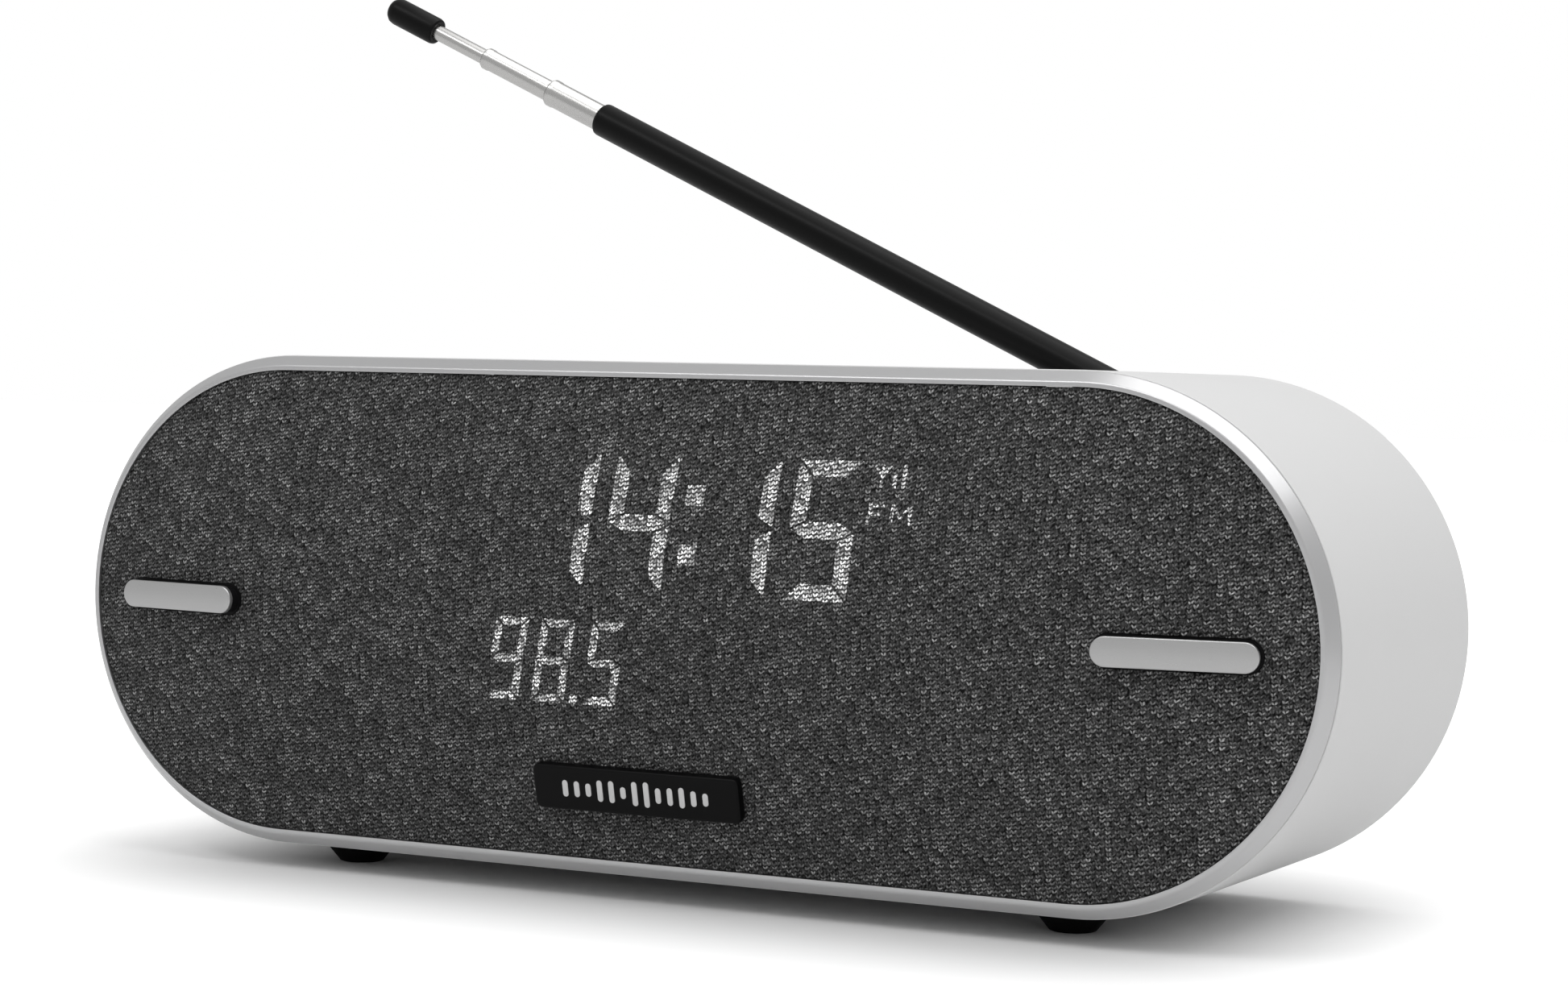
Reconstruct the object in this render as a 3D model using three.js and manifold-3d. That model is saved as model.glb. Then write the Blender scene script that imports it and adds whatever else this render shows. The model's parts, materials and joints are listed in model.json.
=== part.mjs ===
// Tabletop clock radio: a stadium-shaped sleeve with a domed cloth front, a clock display that shines
// through the cloth, two front bar keys, a row of top keys and a telescopic rod aerial on the back.
// Millimetres, +Z up, +X to the right seen from the front, +Y towards the back.
// The origin is on the table, under the middle of the bounding box.
import * as THREE from "three";
import { mergeVertices } from "three/addons/utils/BufferGeometryUtils.js";
import Module from "manifold-3d";

// ---------------------------------------------------------------- driving dimensions
const BODY_WIDTH = 218.6;
const BODY_HEIGHT = 80;
const BODY_DEPTH = 67; // front lip to back edge
const FOOT_HEIGHT = 4;
const WALL = 2.4;
const GAP = 0.3; // between pieces that only touch

const CROWN = 6.6; // how far the cloth stands out at its middle
const CROWN_SPREAD = 151; // along x the crown fades as 1 - (x / CROWN_SPREAD)^2
const CLOTH_RADIUS = 37.2; // of the stadium's ends, as are the next five
const LIP_INNER = 37.5;
const LIP_OUTER = 38.4;
const BEZEL_OUTER = 39.8;
const CLOTH_THICK = 0.7;
const CLOTH_EDGE = 0.35; // depth of the cloth's edge behind the lip
const BAFFLE_THICK = 2.2;

const KEY = { x: 86.5, length: 24.5, height: 4.5, proud: 2, travel: 1 };
const BADGE = { width: 36, height: 7.2, z: -25.8, proud: 1.6, peg: 13 };
const DISPLAY = { x: 7, z: 6, width: 82, height: 44 };
const SPEAKER = { x: -52, radius: 17, oval: 1.5, travel: 1.5 }; // half width, and height over width
const TOP_ROW = { depth: 34, length: 100, width: 12, keys: [-44, -33, -22, 22, 33, 44], travel: 0.8 };
const BOARD = { left: -32, right: 68, front: 12, back: 60, top: -21.8, thick: 1.6 };
const FEET = { x: 64, depths: [16.5, 50.5], top: 6.8, bottom: 3.6, recess: 0.8 };
const JACKS = [
  { name: "power_inlet", x: 58, z: -15.9, outer: 4.6, bore: 3.0, pin: 1.0, box: 11 },
  { name: "headphone_socket", x: 41, z: -16.9, outer: 3.6, bore: 1.8, pin: 0, box: 9 },
];

const AERIAL = { x: 68, z: 27, behind: 7, rear: 4.2, angle: 25 }; // angle above level, pointing left
const STAGES = [
  { outer: 3.0, bore: 2.6, start: 9, end: 134.7 }, // from the pivot, as the stages stand in use
  { outer: 2.4, bore: 2.1, start: 25.8, end: 146.5 },
  { outer: 1.9, bore: 1.6, start: 43, end: 161.9 },
  { outer: 1.4, bore: 0, start: 60, end: 176 },
];
const TIP = { radius: 2.5, start: 173.5, end: 184.6 };

// ---------------------------------------------------------------- places worked out from them
const RADIUS = BODY_HEIGHT / 2;
const HALF = BODY_WIDTH / 2 - RADIUS; // half the straight part
const INNER = RADIUS - WALL;
const MIDDLE = FOOT_HEIGHT + RADIUS; // height of the body's middle
const { PI, abs, atan, cos, max, min, sin, sqrt } = Math;

const KEY_SEAT = CLOTH_EDGE - crown(KEY.x, 0); // depth of the cloth's face at a front key
const KEY_TILT = atan((crown(KEY.x - 1, 0) - crown(KEY.x + 1, 0)) / 2);
const BADGE_SEAT = CLOTH_EDGE - crown(0, BADGE.z);
const BADGE_TILT = atan((crown(0, BADGE.z + 1) - crown(0, BADGE.z - 1)) / 2);

const FRONT_MOST = KEY_SEAT - (KEY.length / 2) * sin(KEY_TILT) - KEY.proud * cos(KEY_TILT);
const BACK_MOST = BODY_DEPTH + AERIAL.behind + AERIAL.rear;
const LIP_Y = -(FRONT_MOST + BACK_MOST) / 2;

// ---------------------------------------------------------------- solids
const wasm = await Module();
wasm.setup();

/** A closed three.js geometry as a manifold-3d solid. */
function solid(geometry) {
  const bare = geometry.clone();
  bare.deleteAttribute("normal");
  bare.deleteAttribute("uv");
  const merged = mergeVertices(bare, 1e-4);
  const index = merged.index.array;
  const kept = [];
  for (let i = 0; i < index.length; i += 3) {
    const [a, b, c] = [index[i], index[i + 1], index[i + 2]];
    if (a !== b && b !== c && a !== c) kept.push(a, b, c);
  }
  const vertProperties = new Float32Array(merged.attributes.position.array);
  const triVerts = new Uint32Array(kept);
  const made = new wasm.Manifold(new wasm.Mesh({ numProp: 3, vertProperties, triVerts }));
  if (made.volume() > 0) return made;
  const flipped = new wasm.Mesh({ numProp: 3, vertProperties, triVerts: triVerts.reverse() });
  return new wasm.Manifold(flipped);
}

/** A manifold-3d solid as a three.js geometry. */
function geometryOf(manifold) {
  const mesh = manifold.getMesh();
  const geometry = new THREE.BufferGeometry();
  geometry.setAttribute("position", new THREE.BufferAttribute(mesh.vertProperties, 3));
  geometry.setIndex(new THREE.BufferAttribute(mesh.triVerts, 1));
  geometry.computeVertexNormals();
  return geometry;
}

const join = (...solids) => solids.reduce((a, b) => a.add(b));
const cut = (from, ...tools) => tools.reduce((a, b) => a.subtract(b), from);

// ---------------------------------------------------------------- outlines, drawn in x and z
/** Two straight sides and two round ends, lying along x. */
function obround(length, height, x = 0, z = 0) {
  const r = height / 2;
  const half = length / 2 - r;
  const shape = new THREE.Shape();
  shape.absarc(x + half, z, r, -PI / 2, PI / 2);
  shape.absarc(x - half, z, r, PI / 2, 1.5 * PI);
  return shape;
}

/** A rectangle with rounded corners. */
function roundedRectangle(width, height, r) {
  const [w, h] = [width / 2 - r, height / 2 - r];
  const shape = new THREE.Shape();
  shape.absarc(w, -h, r, -PI / 2, 0);
  shape.absarc(w, h, r, 0, PI / 2);
  shape.absarc(-w, h, r, PI / 2, PI);
  shape.absarc(-w, -h, r, PI, 1.5 * PI);
  return shape;
}

// ---------------------------------------------------------------- geometries
// The body's pieces are drawn around its middle: x right, z up, y = depth behind the front lip.

/** An outline extruded from one depth to another. */
function prism(shape, front, back, curveSegments = 5) {
  const options = { depth: back - front, bevelEnabled: false, curveSegments };
  return new THREE.ExtrudeGeometry(shape, options).rotateX(PI / 2).translate(0, back, 0);
}

/** An outline drawn in x and depth, standing from one height to another. */
function upright(shape, low, high, curveSegments = 5) {
  const options = { depth: high - low, bevelEnabled: false, curveSegments };
  return new THREE.ExtrudeGeometry(shape, options).translate(0, 0, low);
}

/** A box between two corners, each [x, depth, z]. */
function box([x0, y0, z0], [x1, y1, z1]) {
  const geometry = new THREE.BoxGeometry(x1 - x0, y1 - y0, z1 - z0);
  return geometry.translate((x0 + x1) / 2, (y0 + y1) / 2, (z0 + z1) / 2);
}

/** A box centred on (x, z) between two depths. */
function block(width, height, front, back, x = 0, z = 0) {
  return box([x - width / 2, front, z - height / 2], [x + width / 2, back, z + height / 2]);
}

/** A rod along y between two depths. */
function rod(radius, front, back, x = 0, z = 0, sides = 14) {
  const geometry = new THREE.CylinderGeometry(radius, radius, back - front, sides);
  return geometry.translate(x, (front + back) / 2, z);
}

/** A turned piece about y: profile is [radius, y] pairs, on the axis at both ends or closed. */
function turned(profile, sides = 18) {
  return new THREE.LatheGeometry(profile.map(([r, y]) => new THREE.Vector2(r, y)), sides);
}

/** A tube of one bore, about y. */
function sleeve(bore, outer, front, back, sides = 20) {
  return turned([[bore, front], [outer, front], [outer, back], [bore, back], [bore, front]], sides);
}

/** A round wire through points [x, depth, z]. */
function wire(points, radius, steps = 14) {
  const path = new THREE.CatmullRomCurve3(points.map((p) => new THREE.Vector3(...p)));
  const section = new THREE.Shape();
  section.absarc(0, 0, radius, 0, 2 * PI);
  const options = { steps, extrudePath: path, curveSegments: 4 };
  return new THREE.ExtrudeGeometry(section, options);
}

/** Directions round the stadium: [x of the arc's centre, cos, sin]. */
function stadiumDirections(arcSteps, straightSteps) {
  const round = [];
  for (const side of [1, -1]) {
    for (let i = 0; i <= arcSteps; i++) {
      const turn = -side * PI / 2 + (i / arcSteps) * PI;
      round.push([side * HALF, cos(turn), sin(turn)]);
    }
    for (let i = 1; i < straightSteps; i++) {
      round.push([side * HALF * (1 - (2 * i) / straightSteps), 0, side]);
    }
  }
  return round;
}

/** Triangles between rings of n points; closed joins the last ring to the first. */
function ringTriangles(ringCount, n, closed) {
  const index = [];
  const spans = closed ? ringCount : ringCount - 1;
  for (let k = 0; k < spans; k++) {
    for (let i = 0; i < n; i++) {
      const next = ((k + 1) % ringCount) * n;
      const [a, b] = [k * n + i, k * n + ((i + 1) % n)];
      const [c, d] = [next + i, next + ((i + 1) % n)];
      index.push(a, b, c, c, b, d);
    }
  }
  return index;
}

function indexed(positions, index) {
  const geometry = new THREE.BufferGeometry();
  geometry.setAttribute("position", new THREE.Float32BufferAttribute(positions, 3));
  return geometry.setIndex(index);
}

/** A closed [radius, depth] profile swept round the body's stadium outline. */
function stadiumSweep(profile, arcSteps = 16) {
  const outline = stadiumDirections(arcSteps, 1);
  const positions = profile.flatMap(([r, depth]) =>
    outline.flatMap(([centre, c, s]) => [centre + r * c, depth, r * s]),
  );
  return indexed(positions, ringTriangles(profile.length, outline.length, true));
}

/** How far the cloth stands forward of its edge at (x, z) from the body's middle. */
function crown(x, z) {
  const beyond = max(abs(x) - HALF, 0);
  const share = min(1, (beyond * beyond + z * z) / (CLOTH_RADIUS * CLOTH_RADIUS));
  return CROWN * (1 - share) * (1 - (x / CROWN_SPREAD) ** 2);
}

/** A stadium plate whose front is crowned. back is a depth, or null to keep one thickness. */
function crownedPlate(radius, front, thickness, back = null) {
  const outline = stadiumDirections(10, 4);
  const shares = [0, 0.35, 0.65, 0.87, 1];
  const faceRing = (share) =>
    outline.flatMap(([centre, c, s]) => {
      const [x, z] = [centre + share * radius * c, share * radius * s];
      return [x, front - crown(x, z), z];
    });
  const backRing = (ring) => ring.map((v, i) => (i % 3 === 1 ? (back ?? v + thickness) : v));
  const faces = shares.map(faceRing);
  const rings = [...faces, ...faces.map(backRing).reverse()];
  return indexed(rings.flat(), ringTriangles(rings.length, outline.length, false));
}

// ---------------------------------------------------------------- the exported group
const radio = new THREE.Group();
const body = new THREE.Group(); // the body's middle, at the front lip
body.position.set(0, LIP_Y, MIDDLE);
radio.add(body);

const look = (color, roughness, metalness = 0) => ({ color, roughness, metalness });
const WHITE = look(0xe6e6e6, 0.45);
const SILVER = look(0xb9babc, 0.32, 0.7);
const BLACK = look(0x17181a, 0.5);
const RUBBER = look(0x101112, 0.85);
const CLOTH = look(0x55575a, 0.95);
const GREEN = look(0x1f5a3a, 0.6);
const STEEL = look(0xc9cacb, 0.25, 0.95);
const FERRITE = look(0x2b2c2e, 0.6, 0.3);
const PAPER = look(0x222326, 0.85);
const MILKY = look(0xdfe2e6, 0.5);

/** Adds a named mesh. made is a three.js geometry or a manifold-3d solid. */
function add(parent, name, made, material) {
  const geometry = geometryOf(made.isBufferGeometry ? solid(made) : made);
  const mesh = new THREE.Mesh(geometry, new THREE.MeshStandardMaterial(material));
  mesh.name = name;
  parent.add(mesh);
}

// ---------------------------------------------------------------- casing
const BOARD_POSTS = [[-26, 18], [-26, 54], [28, 54], [60, 18]]; // x and depth
const COVER_POSTS = [-88, 88].flatMap((x) => [-20, 20].map((z) => [x, z]));
const SCREW = { shank: 1.4, head: 2.8, headHigh: 1.2 };
const COVER = { front: 64.1, back: 66.6 };
const SEAM = 2.5; // depth of the joint between bezel and sleeve
const TONGUE = { outer: 38.2, end: 5.2 };

function footPlaces() {
  return [-FEET.x, FEET.x].flatMap((x) => FEET.depths.map((depth) => [x, depth]));
}

/** A rod standing up from one height to another. */
function upRod(radius, low, high, x, depth, sides = 14) {
  return rod(radius, low, high, 0, 0, sides).rotateX(PI / 2).translate(x, depth, 0);
}

function housingSleeve() {
  const [edge, room] = [0.3, TONGUE.outer + 0.2];
  const tube = stadiumSweep([
    [room, SEAM],
    [RADIUS - edge, SEAM],
    [RADIUS, SEAM + edge],
    [RADIUS, BODY_DEPTH - 1],
    [RADIUS - 1, BODY_DEPTH],
    [INNER, BODY_DEPTH],
    [INNER, TONGUE.end + GAP],
    [room, TONGUE.end + GAP],
  ]);
  const postTop = BOARD.top - BOARD.thick - GAP;
  const posts = BOARD_POSTS.map(([x, y]) => solid(upRod(3, -INNER - 1, postTop, x, y, 12)));
  const bores = BOARD_POSTS.map(([x, y]) => solid(upRod(SCREW.shank + GAP, -33, 0, x, y, 10)));
  const recessTop = -RADIUS + FEET.recess;
  const recesses = footPlaces().map(([x, y]) => solid(upRod(FEET.top + GAP, -50, recessTop, x, y, 20)));
  const slot = solid(upright(obround(TOP_ROW.length, TOP_ROW.width, 0, TOP_ROW.depth), 30, 50));
  return cut(join(solid(tube), ...posts), slot, ...bores, ...recesses);
}

function frontBezel() {
  return stadiumSweep([
    [LIP_INNER, 0],
    [LIP_OUTER, 0],
    [BEZEL_OUTER, 2.0],
    [BEZEL_OUTER, SEAM - 0.2],
    [TONGUE.outer, SEAM - 0.2],
    [TONGUE.outer, TONGUE.end],
    [LIP_INNER, TONGUE.end],
  ]);
}

// ---------------------------------------------------------------- front keys and badge
const KEY_HOLE = 1.6; // how much larger than the key its opening is

/** Moves a geometry drawn at the origin to the left (-1) or right (+1) front key's seat. */
const atKey = (geometry, side) => geometry.rotateZ(side * KEY_TILT).translate(side * KEY.x, KEY_SEAT, 0);

const keyOpening = (side) =>
  solid(atKey(prism(obround(KEY.length + KEY_HOLE, KEY.height + KEY_HOLE), -6, 9), side));

const keyCap = (side) => atKey(prism(obround(KEY.length, KEY.height), -KEY.proud, -0.1), side);

function keyCarrier(side) {
  const stem = prism(obround(KEY.length + 0.9, KEY.height + 0.9), 0.2, 4.5);
  const flange = prism(obround(KEY.length + 3.5, KEY.height + 3.5), 3.9, 5.2);
  return join(solid(atKey(stem, side)), solid(atKey(flange, side)));
}

const SWITCH_PRONGS = [-9, 9].flatMap((x) => [-6.2, 6.2].map((z) => [x, z]));
const SWITCH_TOP = 5.2 + KEY.travel + GAP; // behind the cloth's face, along the key's travel

function keySwitchBoard(side) {
  const plate = solid(atKey(block(24, 16, SWITCH_TOP + 1.6, SWITCH_TOP + 2.8), side));
  const domes = [-7, 7].map((x) => solid(atKey(block(4.5, 4.5, SWITCH_TOP, SWITCH_TOP + 1.8, x, 0), side)));
  return join(plate, ...domes);
}

function badgePlate() {
  const plate = prism(roundedRectangle(BADGE.width, BADGE.height, 1), -BADGE.proud, -GAP, 3);
  plate.rotateX(BADGE_TILT).translate(0, BADGE_SEAT, BADGE.z);
  const pegs = [-BADGE.peg, BADGE.peg].map((x) =>
    solid(rod(0.9, BADGE_SEAT - 0.8, BADGE_SEAT + 3.5, x, BADGE.z, 10)),
  );
  return join(solid(plate), ...pegs);
}

const pegOpenings = () =>
  [-BADGE.peg, BADGE.peg].map((x) => solid(rod(1.2, -9, 9, x, BADGE.z, 10)));

// ---------------------------------------------------------------- baffle and cloth
const BAFFLE_FRONT = CLOTH_EDGE + CLOTH_THICK + 0.2;
const BAFFLE_RADIUS = CLOTH_RADIUS - 0.1;
const SPEAKER_SEAT = 3.2; // depth of the flat ring behind the baffle that the driver sits on
const BEHIND_BAFFLE = 8;
const DISPLAY_POSTS = [-25, 25].flatMap((x) => [-24.5, 24.5].map((z) => [DISPLAY.x + x, DISPLAY.z + z]));
const DISPLAY_FRONT = 4.9;

/** Squares up to an oval on the driver's axis. */
const onSpeaker = (geometry) => geometry.scale(1, 1, SPEAKER.oval).translate(SPEAKER.x, 0, 0);

/** Slots that let the sound through, shorter towards the driver's sides. */
function soundSlots() {
  const [pitch, width, reach] = [5.6, 3.2, SPEAKER.radius - 3];
  return [-2, -1, 0, 1, 2].map((i) => {
    const height = 2 * reach * SPEAKER.oval * sqrt(1 - (i * pitch / (reach + 1)) ** 2);
    return solid(block(width, height, -9, 6, SPEAKER.x + i * pitch, 0));
  });
}

function frontBaffle() {
  const plate = solid(crownedPlate(BAFFLE_RADIUS, BAFFLE_FRONT, BAFFLE_THICK));
  const fillable = solid(crownedPlate(BAFFLE_RADIUS, BAFFLE_FRONT, 0, 75));
  const skirt = stadiumSweep([
    [BAFFLE_RADIUS, BAFFLE_FRONT],
    [BAFFLE_RADIUS, BEHIND_BAFFLE],
    [BAFFLE_RADIUS - 2, BEHIND_BAFFLE],
    [BAFFLE_RADIUS - 2, BAFFLE_FRONT],
  ], 10);
  const seat = solid(onSpeaker(sleeve(SPEAKER.radius - 2, SPEAKER.radius, -8, SPEAKER_SEAT, 20)));
  const coverPosts = COVER_POSTS.map(([x, z]) => solid(rod(3.5, -4, COVER.front - GAP, x, z, 10)));
  const displayPosts = DISPLAY_POSTS.map(([x, z]) => solid(rod(2.2, -7, DISPLAY_FRONT - GAP, x, z, 8)));
  const prongs = [-1, 1].flatMap((side) =>
    SWITCH_PRONGS.map(([x, z]) => solid(atKey(rod(1.2, 1.5, SWITCH_TOP + 1.3, x, z, 6), side))),
  );
  const backings = join(seat, ...coverPosts, ...displayPosts, ...prongs).intersect(fillable);
  const holes = [
    ...soundSlots(),
    ...pegOpenings(),
    ...[-1, 1].map(keyOpening),
    solid(block(DISPLAY.width, DISPLAY.height, -9, 4, DISPLAY.x, DISPLAY.z)),
    ...COVER_POSTS.map(([x, z]) => solid(rod(SCREW.shank + GAP, 50, 70, x, z, 8))),
  ];
  return cut(join(plate, solid(skirt), backings), ...holes);
}

function speakerCloth() {
  const cloth = solid(crownedPlate(CLOTH_RADIUS, CLOTH_EDGE, CLOTH_THICK));
  return cut(cloth, ...[-1, 1].map(keyOpening), ...pegOpenings());
}

// ---------------------------------------------------------------- display
const DIGITS = [-14, 0.3, 17.5, 31].map((x) => ({ x, z: 15.2, width: 12.4, height: 23.5 }));
const WELLS = [
  ...DIGITS,
  { x: 9.1, z: 15.2, width: 3.4, height: 14 },
  { x: -14.5, z: -6.7, width: 27, height: 15 },
  { x: 42.3, z: 20.7, width: 8.6, height: 11 },
];

/** A louvred block that keeps the light of one digit out of the next. Its front backs the cloth. */
function displayMask() {
  const front = CLOTH_EDGE + CLOTH_THICK + GAP;
  const behindCloth = solid(crownedPlate(CLOTH_RADIUS, front, 0, DISPLAY_FRONT - GAP));
  const outer = block(DISPLAY.width - 0.6, DISPLAY.height - 0.6, -9, 9, DISPLAY.x, DISPLAY.z);
  const wells = WELLS.map((w) => solid(block(w.width, w.height, -9, 9, w.x, w.z)));
  return cut(behindCloth.intersect(solid(outer)), ...wells);
}

function displayBoard() {
  const plate = block(DISPLAY.width, 53, DISPLAY_FRONT, DISPLAY_FRONT + 1.6, DISPLAY.x, DISPLAY.z);
  const lamps = WELLS.map((w) =>
    solid(block(w.width - 0.8, w.height - 0.8, 1, DISPLAY_FRONT + 0.5, w.x, w.z)),
  );
  return join(solid(plate), ...lamps);
}

function displayRibbon() {
  const [front, back, high, thick] = [DISPLAY_FRONT + 1.9, 15, -14, 0.5];
  const low = BOARD.top + GAP;
  const bent = [[front, high], [back, high], [back, low], [back - thick, low],
    [back - thick, high - thick], [front, high - thick]];
  const shape = new THREE.Shape(bent.map(([y, z]) => new THREE.Vector2(y, z)));
  const options = { depth: 18, bevelEnabled: false };
  const geometry = new THREE.ExtrudeGeometry(shape, options);
  return geometry.rotateX(PI / 2).rotateZ(PI / 2).translate(DISPLAY.x - 9, 0, 0);
}

// ---------------------------------------------------------------- loudspeaker
const BASKET = { front: SPEAKER_SEAT + 1.4, neck: 17, back: 19, throat: 7 };

const driverGasket = () =>
  onSpeaker(sleeve(SPEAKER.radius - 1.8, SPEAKER.radius - 0.2, SPEAKER_SEAT + 0.2, BASKET.front - 0.2, 20));

function driverBasket() {
  const { front, neck, back, throat } = BASKET;
  const r = SPEAKER.radius;
  const wall = 1.2;
  const shell = onSpeaker(turned([
    [r - 2, front],
    [r, front],
    [r, front + 1.5],
    [r - 1.5, front + 1.5],
    [throat + 3, neck],
    [throat + 3, back],
    [throat - 1.5, back],
    [throat - 1.5, back - wall],
    [throat + 1.6, back - wall],
    [throat + 1.6, neck - 0.6],
    [r - 2.9, front + 2],
    [r - 2, front],
  ], 20));
  const windows = [PI / 4, -PI / 4].map((turn) =>
    solid(onSpeaker(block(5, 40, front + 4, neck - 2).rotateY(turn))),
  );
  return cut(solid(shell), ...windows);
}

const driverMagnet = () => turned([
  [0, BASKET.back + GAP],
  [4.2, BASKET.back + GAP],
  [4.2, BASKET.back + 1],
  [13, BASKET.back + 1],
  [13, BASKET.back + 12],
  [11, BASKET.back + 14],
  [0, BASKET.back + 14],
], 24).translate(SPEAKER.x, 0, 0);

const driverSurround = () => {
  const [inner, outer, y] = [SPEAKER.radius - 5.2, SPEAKER.radius - 2.6, BASKET.front + 0.2];
  const centre = (inner + outer) / 2;
  return onSpeaker(turned([
    [inner, y + 0.6],
    [inner, y],
    [centre, y - 1.3],
    [outer, y],
    [outer, y + 0.6],
    [centre, y - 0.5],
    [inner, y + 0.6],
  ], 20));
};

/** Cone, dust cap and voice-coil former in one moving piece. */
function driverCone() {
  const rim = SPEAKER.radius - 5.5;
  const [front, deep] = [BASKET.front + 0.4, BASKET.front + 7];
  return onSpeaker(turned([
    [0, deep - 3.4],
    [2.8, deep - 2.6],
    [4.2, deep - 0.6],
    [rim, front],
    [rim, front + 0.8],
    [4.4, deep + 0.4],
    [3.6, deep + 0.8],
    [0, deep + 0.8],
  ], 20));
}

// ---------------------------------------------------------------- top keys
const SNOOZE_LENGTH = 30;
const KEY_ROUND = 8;
const TOP_FACE = RADIUS - 0.25;

const topKeyOutlines = (grow) => [
  obround(SNOOZE_LENGTH + grow, KEY_ROUND + grow, 0, TOP_ROW.depth),
  ...TOP_ROW.keys.map((x) => obround(KEY_ROUND + grow + 0.01, KEY_ROUND + grow, x, TOP_ROW.depth)),
];

function topKeyPanel() {
  const { depth, length, width } = TOP_ROW;
  const face = upright(obround(length - 0.6, width - 0.6, 0, depth), 35.6, TOP_FACE);
  const flange = upright(obround(length + 5, width + 4, 0, depth), 35.6, INNER - GAP);
  const legs = [-51, 51].map((x) => solid(upRod(1.4, TOP_BOARD.top + GAP, 36, x, depth, 10)));
  const holes = topKeyOutlines(0.7).map((outline) => solid(upright(outline, 30, 50)));
  return cut(join(solid(face), solid(flange), ...legs), ...holes);
}

const TOP_BOARD = { top: 31, thick: 1.6, switchHigh: 1 };

function topKey(outline, wide) {
  const skirtHigh = TOP_BOARD.top + TOP_BOARD.switchHigh + TOP_ROW.travel + GAP;
  const cap = upright(outline, skirtHigh + 0.8, TOP_FACE);
  const skirt = upright(wide, skirtHigh, skirtHigh + 1.2);
  return join(solid(cap), solid(skirt));
}

function topKeyBoard() {
  const { top, thick, switchHigh } = TOP_BOARD;
  const plate = upright(obround(106, 15, 0, TOP_ROW.depth), top - thick, top);
  const switches = [-6, 6, ...TOP_ROW.keys].map((x) =>
    solid(box([x - 2, TOP_ROW.depth - 2, top - 0.2], [x + 2, TOP_ROW.depth + 2, top + switchHigh])),
  );
  return join(solid(plate), ...switches);
}

// ---------------------------------------------------------------- electronics
function mainBoard() {
  const { left, right, front, back, top, thick } = BOARD;
  const plate = solid(box([left, front, top - thick], [right, back, top]));
  return cut(plate, ...BOARD_POSTS.map(([x, y]) => solid(upRod(SCREW.shank + GAP, -40, 0, x, y, 10))));
}

const ON_BOARD = BOARD.top + GAP;

const tunerCan = () => box([34, 22, ON_BOARD], [56, 44, ON_BOARD + 6]);

/** Fins standing on a plate. */
function heatSink() {
  const plate = solid(box([2, 26, ON_BOARD], [24, 44, ON_BOARD + 2]));
  const fins = [0, 1, 2, 3, 4].map((i) => {
    const x = 2 + i * 5.1;
    return solid(box([x, 26, ON_BOARD + 1], [x + 1.6, 44, ON_BOARD + 14]));
  });
  return join(plate, ...fins);
}

const capacitor = () => upRod(5, ON_BOARD, ON_BOARD + 13, -12, 40, 16);

function jack({ x, z, outer, bore, pin, box: side }) {
  const housing = solid(block(side, side, COVER.front - 12, COVER.front - GAP, x, z));
  const barrel = solid(rod(outer, COVER.front - 2, COVER.back, x, z, 20));
  const hollow = solid(rod(bore, COVER.front - 8, 70, x, z, 16));
  const socket = cut(join(housing, barrel), hollow);
  return pin ? join(socket, solid(rod(pin, COVER.front - 9, COVER.back - 1, x, z, 10))) : socket;
}

// ---------------------------------------------------------------- rear
const LABEL = { width: 60, height: 20, x: -22, z: -18, deep: 0.7 };
const TURRET = { disc: 7.5, shaft: 3.5, nut: 6.5 };

function rearCover() {
  const { front, back } = COVER;
  const radius = INNER - GAP;
  const plate = stadiumSweep([[radius, front], [radius, back], [0, back], [0, front]]);
  const holes = [
    ...JACKS.map((j) => rod(j.outer + GAP, 60, 70, j.x, j.z, 20)),
    ...COVER_POSTS.map(([x, z]) => rod(SCREW.shank + GAP, 60, 70, x, z, 12)),
    ...COVER_POSTS.map(([x, z]) => rod(SCREW.head + GAP, back - SCREW.headHigh, 70, x, z)),
    ...[0, 1, 2, 3, 4, 5, 6].map((i) => block(2.2, 20, 60, 70, SPEAKER.x - 18 + i * 6, 14)),
    block(LABEL.width + 1, LABEL.height + 1, back - LABEL.deep, 70, LABEL.x, LABEL.z),
    rod(TURRET.shaft + GAP, 60, 70, AERIAL.x, AERIAL.z, 20),
  ];
  return cut(solid(plate), ...holes.map(solid));
}

const ratingLabel = () =>
  block(LABEL.width, LABEL.height, COVER.back - LABEL.deep + 0.2, COVER.back, LABEL.x, LABEL.z);

/** A pan-head screw on the y axis, head to the back, its underside at y = 0. */
const screw = (length) => turned([
  [0, -length],
  [SCREW.shank, -length],
  [SCREW.shank, 0],
  [SCREW.head, 0],
  [SCREW.head, 0.7],
  [1.6, SCREW.headHigh],
  [1.0, SCREW.headHigh - 0.5],
  [0, SCREW.headHigh - 0.5],
], 8);

// ---------------------------------------------------------------- aerial
// Drawn about its pivot: x along the rod, y to the back, z along the tilt pin.
const CHEEK = { inner: 3.6, outer: 5.4, half: 4.2 };
const DISC = { front: -AERIAL.behind - 0.1, back: -4.6 };
const PIN = 1.1;

/** A plate lying in x and y between two heights, rounded about the pivot on its back side. */
function cheekPlate(low, high) {
  const shape = new THREE.Shape();
  shape.moveTo(-CHEEK.half, DISC.back - 0.5);
  shape.lineTo(CHEEK.half, DISC.back - 0.5);
  shape.absarc(0, 0, CHEEK.half, 0, PI);
  const plate = solid(upright(shape, low, high, 8));
  return cut(plate, solid(upRod(PIN + 0.1, -9, 9, 0, 0, 16)));
}

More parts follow.
